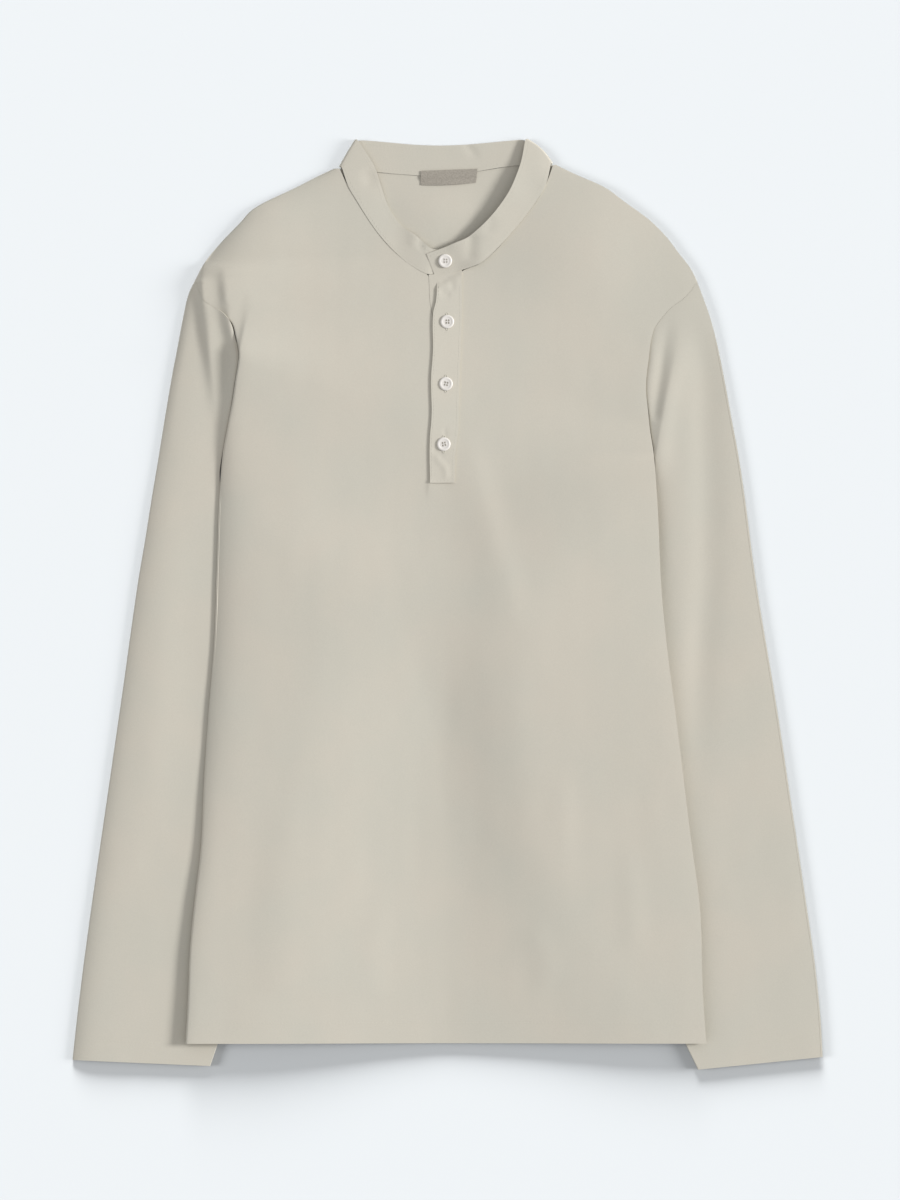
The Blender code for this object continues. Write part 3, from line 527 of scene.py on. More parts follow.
def creases(place, x, y):
    """Height of all the creases of a place."""
    x, y = np.atleast_1d(x).astype(float), np.atleast_1d(y).astype(float)
    total = sum(crease(row, x, y) for row in CREASES[place])
    return total if total.size > 1 else total[0]


def relief(place, x, y):
    """Height of the creases and the slight unevenness of the body or the sleeves."""
    x, y = np.asarray(x, dtype=float), np.asarray(y, dtype=float)
    slight = sum(height * unevenness(x, y, *patch) for height, *patch in UNEVEN)
    return slight + creases(place, x, y)


def front_top(x, y):
    """Height of the front's outer face."""
    return STACK + rise(x, y, FRONT_SLOPE) + mounds("body", x, y) + relief("body", x, y)


def roll(rows, y, reach):
    """How far a face sinks towards an outline."""
    depth, width = by_height(rows, y)
    return depth * np.exp(-reach / width)


def edge_drop(sunk, lowest, reach, turned, rounded, valley):
    """How far the upper face lies below its full height near an outline or a seam."""
    fold = sunk + (lowest - sunk) * (1 - np.sin(turned))
    seam = valley * np.exp(-reach / SEAM_DIP_WIDTH)
    return np.minimum(rounded * fold + (1 - rounded) * seam, lowest - SEAM_GAP / 2)


def spread(count, closer=0.68):
    """Shares from 0 to 1, closer together near both ends."""
    t = np.linspace(0, 1, count + 1)
    return t - closer * np.sin(2 * pi * t) / (2 * pi)


def seam_depth(place, side, y):
    """Depth of the valley along an armhole seam, deeper towards the underarm."""
    shallow, deep = SEAM_DIP[place][side]
    start, full = SEAM_DIP_DEEPENS
    return shallow + (deep - shallow) * ease((start - y) / (start - full))


def panel_edge(side, y):
    """The table of a body panel's outer edge at a height: below or above its armhole's top."""
    return (BODY_EDGE if y < ARMHOLE[1] + 1 else SILHOUETTE)[side]


def half_row(side, y, inner_x, columns, rolls, lowest, set_back=0.0):
    """X of a row's points on one side, from the outer edge inward, and how far they drop."""
    table = panel_edge(side, y)
    inward = INWARD[side]
    outer_x = curve_value(table, y)
    width = inward * (inner_x - outer_x)
    scale = min(stretch(table, y), width / FULL_EDGE)
    outer_x = outer_x + inward * set_back * scale
    width = width - set_back * scale
    fold = FOLD_REACH[side] * scale
    reach = np.concatenate([
        fold * (1 - np.cos(FOLD_TURNS)), fold + (width - fold) * spread(columns)
    ])
    turned = np.concatenate([FOLD_TURNS, np.full(columns + 1, pi / 2)])
    low, high = ARMHOLE_CUT[side]
    below, above = CUT_FADE
    rounded = 1 - ease((y - low + below) / below) * ease((high + above - y) / above)
    sunk = roll(rolls[side], y, reach / scale)
    drop = edge_drop(sunk, lowest, reach / scale, turned, rounded, seam_depth("body", side, y))
    return outer_x + inward * reach, drop


def front_half(side, y, inner_x, columns):
    """A half row of the front, whose fold also makes up for its extra height at the edge."""
    start, full = RIDE[side]
    higher = by_height(FRONT_SLOPE[side], y)[0] * ease((start - y) / (start - full))
    edge_x = curve_value(panel_edge(side, y), y)
    fuller = mounds("body", edge_x, y) + creases("body", edge_x, y) + higher
    lowest = STACK - SIDE_SEAM[side] if y < ARMHOLE_CUT[side][0] else FOLD_RADIUS
    return half_row(side, y, inner_x, columns, FRONT_ROLL, lowest + fuller)


def neck_row(side, step):
    """Height of a row of the neck, a step of 0 at its base and 1 at the shoulder."""
    return NECK_BASE + step * (SHOULDER_TOP[side] - NECK_BASE)


def slot_right_edge(y):
    """The front's edge under the upper strip."""
    return curve_value(OVER_RIGHT_EDGE, y) - OVER_LAP


def front_inner_edge(side, y):
    """Where the front ends beside the placket or at the neckline, or below both its middle."""
    if y < NECK_BASE:
        y = max(y, SLOT_BOTTOM)
        return curve_value(SLOT_LEFT_EDGE, y) if side == "right" else slot_right_edge(y)
    neck = NECKLINE[side]
    edge = curve_value(neck, y) - INWARD[side] * SEAM_GAP * stretch(neck, y)
    return edge if side == "right" else max(edge, slot_right_edge(y))


def body_rows(step):
    """Heights of the rows from the hem to the foot of the placket, and from there to the neck."""
    hem = [HEM + up for up in HEM_ROWS]
    low = np.linspace(HEM + EVEN_ROWS, SLOT_BOTTOM, int((SLOT_BOTTOM - HEM) / step))
    high = np.linspace(SLOT_BOTTOM, NECK_BASE, int(2 * (NECK_BASE - SLOT_BOTTOM) / step) + 1)
    return [*hem, *low], list(high[1:-1])


def make_front():
    """The front: rows from the hem up, each split by the placket's slot and the neck."""
    low, high = body_rows(FRONT_STEP)
    rows = [(y, y) for y in (*low, *high)]
    rows += [
        (neck_row("right", step), neck_row("left", step)) for step in np.linspace(0, 1, NECK_ROWS)
    ]
    grid = []
    for right_y, left_y in rows:
        ends = [front_inner_edge("right", right_y), front_inner_edge("left", left_y)]
        right_x, right_drop = front_half("right", right_y, ends[0], FRONT_COLUMNS)
        left_x, left_drop = front_half("left", left_y, ends[1], FRONT_COLUMNS)
        share = np.linspace(0, 1, BRIDGE_COLUMNS + 1)[1:-1]
        bridge = ends[0] + share * (ends[1] - ends[0])
        x = np.concatenate([right_x, bridge, left_x[::-1]])
        drop = np.concatenate([right_drop, 0 * bridge, left_drop[::-1]])
        y = np.concatenate(
            [0 * right_x + right_y, right_y + share * (left_y - right_y), 0 * left_x + left_y]
        )
        grid.append(np.stack([x, y, front_top(x, y) - drop], axis=1))
    outer = np.array(grid)
    cells = np.ones((len(outer) - 1, outer.shape[1] - 1), bool)
    first = len(right_x) - 1
    cells[len(low) - 1 :, first : first + BRIDGE_COLUMNS] = False
    return shell("front_cloth", outer, inside(outer, CLOTH), cells)


def make_back():
    """The back: rows from the hem up, whose last ones bend to the neck's curve."""
    low, high = body_rows(BACK_STEP)
    rows = [(y, None) for y in (*low, *high)]
    rows += [(NECK_BASE, step) for step in np.linspace(0, 1, NECK_ROWS)]
    grid = []
    for row_y, step in rows:
        right_y = row_y if step is None else neck_row("right", step)
        left_y = row_y if step is None else neck_row("left", step)
        lowest = SIDE_SEAM["right"] if row_y < ARMHOLE_CUT["right"][0] else FOLD_RADIUS
        right_x, right_drop = half_row("right", right_y, 0.0, BACK_COLUMNS, BACK_ROLL, lowest)
        set_back = UNDERCUT["left"] * (row_y < UNDERARM)
        left_x, left_drop = half_row(
            "left", left_y, 0.0, BACK_COLUMNS, BACK_ROLL, FOLD_RADIUS, set_back
        )
        x = np.concatenate([right_x, left_x[-2::-1]])
        drop = np.concatenate([right_drop, left_drop[-2::-1]])
        if step is None:
            y = np.full(len(x), float(row_y))
        else:
            top = curve_value(BACK_NECK, x) - NECK_GAP
            top = np.where(x < BACK_NECK[0][0], SHOULDER_TOP["right"], top)
            top = np.where(x > BACK_NECK[-1][0], SHOULDER_TOP["left"], top)
            y = NECK_BASE + step * (top - NECK_BASE)
        turn = len(FOLD_TURNS)
        drop[turn:-turn] = 0
        z = rise(x, y, BACK_SLOPE) + mounds("neck", x, y) + creases("under", x, y) + drop
        grid.append(np.stack([x, y, z], axis=1))
    outer = np.array(grid)
    return shell("back_cloth", outer, inside(outer, -CLOTH), facing=-1)


def armhole_line(side, count):
    """The sleeve's end of the armhole seam, shoulder to underarm, just clear of the body."""
    edge = BODY_EDGE[side]
    shoulder_y = edge[0][0] - SEAM_GAP
    top = ARMHOLE[1] if side == "right" else shoulder_y - FOLD_REACH[side]
    y = np.array([*np.linspace(top, ARMHOLE[0], count), UNDERARM])
    x = curve_value(edge, y) - INWARD[side] * SEAM_GAP * stretch(edge, y)
    seam = np.stack([x, y], axis=1)
    shoulder = np.array((curve_value(SILHOUETTE[side], shoulder_y), shoulder_y))
    return shoulder, seam[:-1], seam[-1]


def sleeve_lines(side, count):
    """For each section its outer end, the points of its flat part and its inner end."""
    shoulder, seam, underarm = armhole_line(side, count)
    lines = [np.vstack([shoulder, seam, underarm])]
    even = np.linspace(0, 1, count)
    down = (seam[0, 1] - seam[:, 1]) / (seam[0, 1] - seam[-1, 1])
    bow = seam - seam[0] - np.outer(down, seam[-1] - seam[0])
    for outer_y, inner_y, kept in (*SLEEVE_SECTIONS, (*CUFF_ENDS[side], 0)):
        outer = np.array((curve_value(SILHOUETTE[side], outer_y), outer_y))
        inner = np.array((curve_value(HIDDEN_EDGE[side], inner_y), inner_y))
        along = (inner - outer) / np.linalg.norm(inner - outer)
        first, last = outer + along * FOLD_REACH[side], inner - along * INNER_REACH[side]
        share = kept * down + (1 - kept) * even
        flat = first + np.outer(share, last - first) + kept * bow
        lines.append(np.vstack([outer, flat, inner]))
    return smooth_rows(lines, SLEEVE_BETWEEN)


def sleeve_full(side, from_outline):
    """Height of a sleeve's face without its creases and edges."""
    return STACK + SLEEVE_FULL[side] * np.exp(-((from_outline / SLEEVE_FULL_WIDTH) ** 2))


def make_sleeve(side):
    """A flat tube: rings of the upper face, a fold, the underside and the other fold."""
    turns = SLEEVE_TURNS
    lines = sleeve_lines(side, SLEEVE_COLUMNS)
    rings = []
    for line in lines:
        outer_end, flat, inner_end = line[0], line[1:-1], line[-1]
        from_outline = np.linalg.norm(flat - outer_end, axis=1)
        from_seam = np.linalg.norm(flat - lines[0][1:-1], axis=1)
        dip = seam_depth("sleeve", side, flat[:, 1]) * np.exp(-from_seam / SEAM_DIP_WIDTH)
        full = sleeve_full(side, from_outline) + relief("sleeve", flat[:, 0], flat[:, 1])
        top = full - roll(SLEEVE_ROLL[side], 0, from_outline) - dip
        ring = [np.column_stack([flat, top])]
        for middle, end, angles, height in (
            (flat[-1], inner_end, turns, top[-1]),
            (flat[0], outer_end, turns[::-1], top[0]),
        ):
            back = UNDERCUT[side] * (angles is not turns)
            inward = (middle - end) / np.linalg.norm(middle - end)
            reach = np.outer(np.cos(angles), end - middle)
            reach = reach + np.outer(back * (1 - np.sin(angles)) / 2, inward)
            ring.append(np.column_stack([middle + reach, height / 2 * (1 + np.sin(angles))]))
            if angles is turns:
                inset = UNDERCUT[side] * np.exp(-from_outline / UNDERCUT_WIDTH)
                toward = (inner_end - outer_end) / np.linalg.norm(inner_end - outer_end)
                under = flat + np.outer(inset, toward)
                lifted = creases("under", under[:, 0], under[:, 1])
                ring.append(np.column_stack([under, lifted])[::-1])
        rings.append(np.concatenate(ring))
    outer = np.array(rings)
    facing = -1 if side == "right" else 1
    inner = inside(outer, facing * CLOTH, ring=True)
    return shell(f"sleeve_{side}_cloth", outer, inner, ring=True, facing=facing)


def collar_front(side, rows, rises):
    """Stations of a front half of the collar, without the first, which the fold has.

    A station is the seam's and the free edge's x, y and z, the face's normal, and the bulge.
    """
    stations = []
    for (step, x, y, lift), up in zip(rows[1:], rises):
        seam_y = neck_row(side, step)
        seam_x = curve_value(NECKLINE[side], seam_y)
        z = COLLAR_TOP - BAND / 2 + up
        seam_z = z + mounds("body", seam_x, seam_y)
        if side == "left":
            seam_z, lift = seam_z + COLLAR_STEP, lift * COLLAR_LEAN
        stations.append((seam_x, seam_y, seam_z, x, y, z + lift, 0, 0, 1, 0, 0))
    return stations


def collar_fold(side):
    """Stations round the fold at a shoulder, from the front's face to the back's."""
    (low_x, low_y), (high_x, high_y), (out_x, out_y), bulge = COLLAR_FOLD[side]
    turn_radius = (COLLAR_TOP - BAND) / 2
    stations = []
    for turn in np.radians((0, 45, 90, 135, 180)):
        inset = BAND / 2 + turn_radius * (1 - np.sin(turn))
        z = COLLAR_TOP / 2 + turn_radius * np.cos(turn)
        stations.append((
            low_x - out_x * inset, low_y - out_y * inset, z,
            high_x - out_x * inset, high_y - out_y * inset, z,
            out_x * np.sin(turn), out_y * np.sin(turn), np.cos(turn),
            out_x * bulge, out_y * bulge,
        ))
    return stations


def collar_back():
    """Stations along the back of the neck."""
    stations = []
    (seam_start, free_start), (seam_end, free_end) = COLLAR_BACK_ENDS
    for t in np.linspace(0, 1, COLLAR_BACK_STATIONS):
        seam_x = seam_start + t * (seam_end - seam_start)
        free_x = free_start + t * (free_end - free_start)
        seam_y = curve_value(BACK_NECK, seam_x) + NECK_GAP
        free_y = curve_value(COLLAR_BACK_EDGE, free_x)
        stations.append((seam_x, seam_y, BAND / 2, free_x, free_y, BAND / 2, 0, 0, -1, 0, 0))
    return stations


def tab_stations(rows, rise_by):
    """Stations of the tab or of the end under it."""
    z = COLLAR_TOP - BAND / 2 + rise_by
    return [(sx, sy, z, fx, fy, z + lift, 0, 0, 1, 0, 0) for sx, sy, fx, fy, lift in rows]


def collar_stations():
    """All of the strip, from its covered right-hand end round the neck to its tab."""
    stations = tab_stations(RIGHT_BAND_END[::-1], 0)
    stations += collar_front("right", RIGHT_BAND, RIGHT_BAND_RISE)[::-1]
    stations += collar_fold("right")
    stations += collar_back()
    stations += collar_fold("left")[::-1]
    stations += collar_front("left", LEFT_BAND, LEFT_BAND_RISE)
    return stations + tab_stations(TAB, TAB_RISE)


def make_collar():
    """A strip whose every station is a line from its seam to its free edge, with a bulge."""
    share = np.array(COLLAR_ACROSS)
    edge_width, edge_depth = COLLAR_EDGE
    full = np.sqrt(1 - np.clip(1 - np.minimum(share, 1 - share) / edge_width, 0, 1) ** 2)
    half = BAND / 2 * (1 - edge_depth * (1 - full))
    outer, inner = [], []
    stations = smooth_rows(collar_stations(), COLLAR_BETWEEN)
    thin_from = len(stations) - 1 - TAB_THIN_STATIONS
    for i, station in enumerate(stations):
        thin = TAB_THIN * ease((i - thin_from) / TAB_THIN_STATIONS)
        seam, free, normal = station[:3], station[3:6], station[6:9]
        normal = normal / np.linalg.norm(normal)
        line = seam + share[:, None] * (free - seam)
        line[:, :2] += np.sin(share * pi)[:, None] * station[9:]
        line[:, 2] -= thin * BAND / 2
        line[:, 2] += creases("collar", line[:, 0], line[:, 1]) * abs(normal[2])
        outer.append(line + normal * (1 - thin) * half[:, None])
        inner.append(line - normal * (1 - thin) * half[:, None])
    outer, inner = np.array(outer), np.array(inner)
    return shell("collar_cloth", outer, inner), outer, inner


def strip_places(left_edge, right_edge, bottom, tops, rows, columns):
    """X and Y of a grid between two edges, from the bottom to each edge's own top."""
    up, share = np.linspace(0, 1, rows), np.linspace(0, 1, columns)
    left_y, right_y = (bottom + up * (top - bottom) for top in tops)
    left = np.stack([left_edge(left_y), left_y])[:, :, None]
    right = np.stack([right_edge(right_y), right_y])[:, :, None]
    return left + share * (right - left)


def over_edges(y, inset=0.0):
    """X of the upper strip's edges, each moved inward."""
    return curve_value(OVER_LEFT_EDGE, y) + inset, curve_value(OVER_RIGHT_EDGE, y) - inset


def placket_top(x, y):
    """Height of the upper strip's face."""
    lean = PLACKET_LEAN * (curve_value(OVER_RIGHT_EDGE, y) - x)
    return front_top(x, y) + PLACKET_CLEAR + CLOTH + lean + creases("placket", x, y)


def make_placket_over():
    """The upper strip, whose top end sinks under the tab."""
    x, y = strip_places(
        lambda y: over_edges(y)[0], lambda y: over_edges(y)[1], OVER_BOTTOM, OVER_TOP, *OVER_GRID
    )
    start, end = TUCK_ROWS
    sunk = TUCK * ease((np.linspace(0, 1, len(x))[:, None] - start) / (end - start))
    outer = np.dstack([x, y, placket_top(x, y) - sunk])
    return shell("placket_over_cloth", outer, inside(outer, CLOTH))


def make_placket_under():
    """The lower strip, which fills the slot in the front."""
    x, y = strip_places(
        lambda y: curve_value(SLOT_LEFT_EDGE, y) + 2 * SEAM_GAP,
        lambda y: slot_right_edge(y) - 2 * SEAM_GAP,
        SLOT_BOTTOM + SEAM_GAP, UNDER_TOP, *UNDER_GRID,
    )
    outer = np.dstack([x, y, front_top(x, y)])
    return shell("placket_under_cloth", outer, inside(outer, CLOTH))


def make_label():
    """A blank tape on the back's inside, its upper part on the band, its lower edge bowed."""
    corners = np.array(LABEL_CORNERS, float)
    columns, rows = LABEL_GRID
    across = np.linspace(0, 1, columns)[:, None]
    low = corners[0] + across * (corners[1] - corners[0])
    high = corners[3] + across * (corners[2] - corners[3])
    up = np.linspace(0, 1, rows)[:, None, None]
    places = low + up * (high - low)
    bow = np.sin(pi * across[:, 0])
    places[..., 1] -= LABEL_BOW * bow * (1 - up[..., 0]) ** 3
    lift = LABEL_LIFT * (1 - up[..., 0]) ** 2 * bow
    start, end = LABEL_ON_BAND
    on_band = (BAND - CLOTH) * ease((up[..., 0] - start) / (end - start))
    z = CLOTH + SEAM_GAP + LABEL_CLOTH + on_band + lift
    z = z + mounds("neck", places[..., 0], places[..., 1])
    outer = np.dstack([places, z])
    return shell("label_cloth", outer, inside(outer, LABEL_CLOTH))


# ---- sewing and buttons ----


def front_face(x, y):
    """Height of the front's outer face, with its roll towards the edges."""
    z = front_top(x, y)
    for side, inward in INWARD.items():
        z = z - roll(FRONT_ROLL[side], y, inward * (x - curve_value(BODY_EDGE[side], y)))
    return z


def sleeve_face(side, x, y):
    """Height of a sleeve's upper face near its cuff."""
    outline = SILHOUETTE[side]
    from_outline = np.abs(x - curve_value(outline, y)) / stretch(outline, y)
    sunk = roll(SLEEVE_ROLL[side], 0, from_outline)
    return sleeve_full(side, from_outline) + relief("sleeve", x, y) - sunk


def ring_faces(index, closed=False):
    """Faces of tubes, from their rings of point numbers. Closed joins the last to the first."""
    beside = np.roll(index, -1, axis=-1)
    ahead, both = (np.roll(grid, -1, axis=-2) for grid in (index, beside))
    faces = np.stack([index, beside, both, ahead], axis=-1)
    if not closed:
        faces = faces[..., :-1, :, :]
    return faces.reshape(-1, 4)


def lengths(path):
    """Length along a path at each of its points."""
    steps = np.linalg.norm(np.diff(path, axis=0), axis=1)
    return np.concatenate([[0], np.cumsum(steps)])


def along_surface(path, height):
    """Points of a path in plan, 1 mm apart, at the heights of a surface."""
    path = np.asarray(path, dtype=float)
    along = lengths(path)
    at = np.arange(0, along[-1])
    x, y = np.interp(at, along, path[:, 0]), np.interp(at, along, path[:, 1])
    return np.column_stack([x, y, height(x, y)])


def make_stitches(name, runs):
    """Rows of short stitches, each sunk into the cloth at its ends, joined in one mesh."""
    rings, shape = [], np.array(STITCH_SHAPE)
    turns = 2 * pi * np.arange(STITCH_SIDES) / STITCH_SIDES
    for run in runs:
        along = lengths(run)
        for start in np.arange(0.5, along[-1] - STITCH, STITCH_PITCH):
            at = start + STITCH * shape[:, 0]
            middle = np.column_stack([np.interp(at, along, run[:, i]) for i in range(3)])
            ahead = middle[-1] - middle[0]
            side = np.cross(ahead, (0, 0, 1)) / np.linalg.norm(ahead)
            middle[:, 2] += shape[:, 2]
            for point, size in zip(middle, shape[:, 1]):
                half = size * STITCH_WIDTH / 2
                ring = point + np.outer(half * np.cos(turns), side)
                ring[:, 2] += STITCH_FLAT * half * np.sin(turns)
                rings.append(ring)
    points = np.concatenate(rings)
    index = np.arange(len(points)).reshape(-1, len(shape), STITCH_SIDES)
    return add_piece(name, points, ring_faces(index))


def hem_run():
    """The stitch line across the front's hem."""
    y = HEM + HEM_DEPTH
    ends = [
        (curve_value(BODY_EDGE[side], y) + inward * HEM_RUN_INSET[side], y)
        for side, inward in INWARD.items()
    ]
    return along_surface(ends, front_face)


def cuff_run(side):
    """The stitch line across a cuff, as far as the body's edge."""
    outer_y, inner_y = (y + HEM_DEPTH for y in CUFF_ENDS[side])
    outer_inset, inner_inset = (INWARD[side] * inset for inset in CUFF_RUN_INSET)
    outer_x = curve_value(SILHOUETTE[side], outer_y) + outer_inset
    inner_x = curve_value(BODY_EDGE[side], CUFF_RUN_EDGE) - inner_inset
    share = (inner_x - outer_x) / (curve_value(HIDDEN_EDGE[side], inner_y) - outer_x)
    end_y = outer_y + share * (inner_y - outer_y)
    path = [(outer_x, outer_y), (inner_x, end_y)]
    return along_surface(path, lambda x, y: sleeve_face(side, x, y))


def placket_runs():
    """Edge stitching of the upper strip, on both sides and across its foot."""
    foot = OVER_BOTTOM + FOOT_STITCH
    y = np.linspace(foot, OVER_TOP[0] - SIDE_STITCH_END, SIDE_STITCH_POINTS)
    runs = [np.column_stack([x, y]) for x in over_edges(y, EDGE_STITCH)]
    runs.append([(x, foot) for x in over_edges(foot, EDGE_STITCH)])
    return [along_surface(run, placket_top) for run in runs]


def collar_runs(outer, inner):
    """Edge stitching near both edges of the band, on the faces that show."""
    middle = len(COLLAR_ACROSS) // 2
    upward = outer[:, middle, 2] > inner[:, middle, 2]
    runs = []
    for column in COLLAR_RUN_COLUMNS:
        for face, shown in ((outer, upward), (inner, ~upward)):
            inside_run = np.flatnonzero(shown)
            parts = np.split(inside_run, np.flatnonzero(np.diff(inside_run) > 1) + 1)
            runs += [face[part, column] for part in parts if len(part) > SHORTEST_RUN]
    return runs


def buttonhole(x, y):
    """A narrow ring of thread, long along the placket, that shows above and below a button."""
    turns = 2 * pi * np.arange(HOLE_STEPS) / HOLE_STEPS
    straight = (HOLE_LENGTH - HOLE_WIDTH) / 2
    path_x = x + HOLE_WIDTH / 2 * np.cos(turns)
    path_y = y + HOLE_WIDTH / 2 * np.sin(turns) + straight * np.sign(np.sin(turns))
    ring = np.column_stack([path_x, path_y, placket_top(path_x, path_y) + HOLE_RAISED])
    ahead = np.roll(ring, -1, axis=0) - np.roll(ring, 1, axis=0)
    side = np.cross(ahead, (0, 0, 1))
    side = side / np.linalg.norm(side, axis=1, keepdims=True)
    around = 2 * pi * np.arange(THREAD_SIDES) / THREAD_SIDES
    half_width, half_height = HOLE_THREAD
    points = ring[:, None] + half_width * np.cos(around)[None, :, None] * side[:, None]
    points[..., 2] += half_height * np.sin(around)
    index = np.arange(HOLE_STEPS * THREAD_SIDES).reshape(HOLE_STEPS, THREAD_SIDES)
    return points.reshape(-1, 3), ring_faces(index, closed=True)


def make_buttonholes():
    """The rings of all the buttons on the placket, in one mesh."""
    points, faces, used = [], [], 0
    for x, y in BUTTONS[1:]:
        made, ring = buttonhole(x, y)
        points.append(made)
        faces.append(ring + used)
        used += len(made)
    return add_piece("buttonhole_thread", np.concatenate(points), np.concatenate(faces))


def make_button(number, base):
    """A four-hole button turned from one profile, its holes sunk into the face."""
    x, y = BUTTONS[number - 1]
    profile = np.array(BUTTON_PROFILE)
    radius = np.concatenate([np.linspace(0, BUTTON_FLAT, BUTTON_FLAT_RINGS), profile[:, 0]])
    height = np.concatenate([np.full(BUTTON_FLAT_RINGS, profile[0, 1]), profile[:, 1]])
    turns = 2 * pi * np.arange(BUTTON_SIDES) / BUTTON_SIDES
    across, along = np.outer(radius, np.cos(turns)), np.outer(radius, np.sin(turns))
    z = np.repeat(height[:, None], len(turns), axis=1)
    upper = (np.arange(len(radius)) < BUTTON_FLAT_RINGS + BUTTON_RIM_RINGS)[:, None]
    for eye in range(4):
        angle = BUTTON_TURNS[number - 1] + eye * pi / 2
        eye_x, eye_y = EYE_FROM_MIDDLE * cos(angle), EYE_FROM_MIDDLE * sin(angle)
        gap = np.hypot(across - eye_x, along - eye_y)
        z = z - EYE_DEPTH * np.clip((EYE_RADIUS - gap) / EYE_BEVEL, 0, 1) * upper
    points = np.dstack([x + across, y + along, base + z]).reshape(-1, 3)
    index = np.arange(len(points)).reshape(len(radius), -1)
    return add_piece(f"button_{number}_disc", points, ring_faces(index)[:, ::-1])


def inside(outer, thickness, ring=False):
    """The other face of a wall, the thickness away along the grid's own normals."""
    if ring:
        across = np.roll(outer, -1, axis=1) - np.roll(outer, 1, axis=1)
    else:
        across = np.gradient(outer, axis=1)
    normals = np.cross(across, np.gradient(outer, axis=0))
    return outer - thickness * normals / np.linalg.norm(normals, axis=2, keepdims=True)


def shell(name, outer, inner, cells=None, ring=False, facing=1):
    """A closed wall between two grids of points. With ring, the columns run all the way round."""
    rows, columns = outer.shape[:2]
    around = columns if ring else columns - 1
    if cells is None:
        cells = np.ones((rows - 1, around), bool)
    index = np.arange(rows * columns).reshape(rows, columns)
    low = index[:-1, :around]
    low_next = np.roll(index, -1, axis=1)[:-1, :around]
    high, high_next = low + columns, low_next + columns
    corners = np.stack([low, low_next, high_next, high], axis=-1)
    other = rows * columns
    faces = [corners[cells], corners[cells][:, ::-1] + other]
    padded = np.pad(cells, 1)
    if ring:
        padded[1:-1, 0], padded[1:-1, -1] = cells[:, -1], cells[:, 0]
    beyond = (padded[:-2, 1:-1], padded[1:-1, 2:], padded[2:, 1:-1], padded[1:-1, :-2])
    for i, neighbour in enumerate(beyond):
        edge = cells & ~neighbour
        a, b = corners[edge][:, i], corners[edge][:, (i + 1) % 4]
        faces.append(np.stack([b, a, a + other, b + other], axis=1))
    faces = np.concatenate(faces)
    if facing < 0:
        faces = faces[:, ::-1]
    used, faces = np.unique(faces, return_inverse=True)
    points = np.concatenate([outer.reshape(-1, 3), inner.reshape(-1, 3)])[used]
    return add_piece(name, points, faces.reshape(-1, 4))


def add_piece(name, points, faces):
    """A smooth-shaded object of a mesh given in millimetres."""
    mesh = bpy.data.meshes.new(name)
    mesh.from_pydata((points * MM).tolist(), [], faces.tolist())
    mesh.shade_smooth()
    mesh.set_sharp_from_angle(angle=SHARP_FROM)
    piece = bpy.data.objects.new(name, mesh)
    bpy.context.scene.collection.objects.link(piece)
    return piece


# ---- materials ----

JERSEY = (0.600, 0.576, 0.503)
JERSEY_WARM = (0.624, 0.586, 0.508)
STRIP_PAINTED_LIGHT = 1.045  # painted light: how much paler the upper strip's cloth is made, standing in for the light its face catches
SLEEVE_TURN = {"right": -6.4, "left": 6.4}  # degrees from the body's wales to a sleeve's
WALE, COURSE = 0.8, 0.6  # spacing of the knit's columns and rows
KNIT_LEGS = 0.35  # how strong the V's legs are against the columns
KNIT_BUMP, NAP_BUMP = (0.35, 0.12), (0.2, 0.2)  # strength and depth
NAP, UNEVEN_TONE = (900, 2, 0.6), (14, 3, 0.5)  # noises: scale, detail and roughness
NAP_SHADE = 0.10  # how much the nap darkens the tone
TONE_STOPS = (0.35, 0.65)  # values of a noise at which the lower and the upper tone are reached
MATT = 0.9  # roughness of cloth and floor
# Other finishes: tone, roughness, scale of the mottling, its variation of tone, its depth and,
# for a weave, its two pitches
LABEL = ((0.36, 0.33, 0.285), 0.85, 700, 0.12, 0.12, (1.1, 0.7))
RESIN = ((0.77, 0.74, 0.705), 0.32, 260, 0.05, 0.02)
THREAD = ((0.575, 0.552, 0.478), 0.85, 1800, 0.06, 0.05)


def node(tree, kind, **inputs):
    """A new node with constants on its named inputs."""
    made = tree.nodes.new(kind)
    for name, value in inputs.items():
        made.inputs[name.replace("_", " ")].default_value = value
    return made


def maths(tree, operation, first, second=None):
    """A Math node's output, from numbers or other outputs."""
    made = tree.nodes.new("ShaderNodeMath")
    made.operation = operation
    for socket, value in zip(made.inputs, (first, second)):
        if value is None:
            continue
        if isinstance(value, (int, float)):
            socket.default_value = value
        else:
            tree.links.new(value, socket)
    return made.outputs[0]


def noise(tree, place, scale, detail, roughness):
    """A noise's value over a place's coordinates."""
    made = node(tree, "ShaderNodeTexNoise", Scale=scale, Detail=detail, Roughness=roughness)
    tree.links.new(place, made.inputs["Vector"])
    return made.outputs[0]


def bump(tree, height, strength, distance, shader):
    """Adds a relief over what the shader's normal already has."""
    made = node(tree, "ShaderNodeBump", Strength=strength, Distance=distance * MM)
    tree.links.new(height, made.inputs["Height"])
    for link in shader.inputs["Normal"].links:
        tree.links.new(link.from_socket, made.inputs["Normal"])
    tree.links.new(made.outputs[0], shader.inputs["Normal"])


def two_tones(tree, value, low, high):
    """A colour that goes from one tone to another over the middle of a noise's range."""
    ramp = tree.nodes.new("ShaderNodeValToRGB")
    for element, position, tone in zip(ramp.color_ramp.elements, TONE_STOPS, (low, high)):
        element.position = position
        element.color = (*tone, 1)
    tree.links.new(value, ramp.inputs[0])
    return ramp.outputs[0]


def plain(name, colour, roughness):
    """A finish of one colour."""
    made = bpy.data.materials.new(name)
    made.use_nodes = True
    shader = made.node_tree.nodes["Principled BSDF"]
    shader.inputs["Base Color"].default_value = (*colour, 1)
    shader.inputs["Roughness"].default_value = roughness
    return made


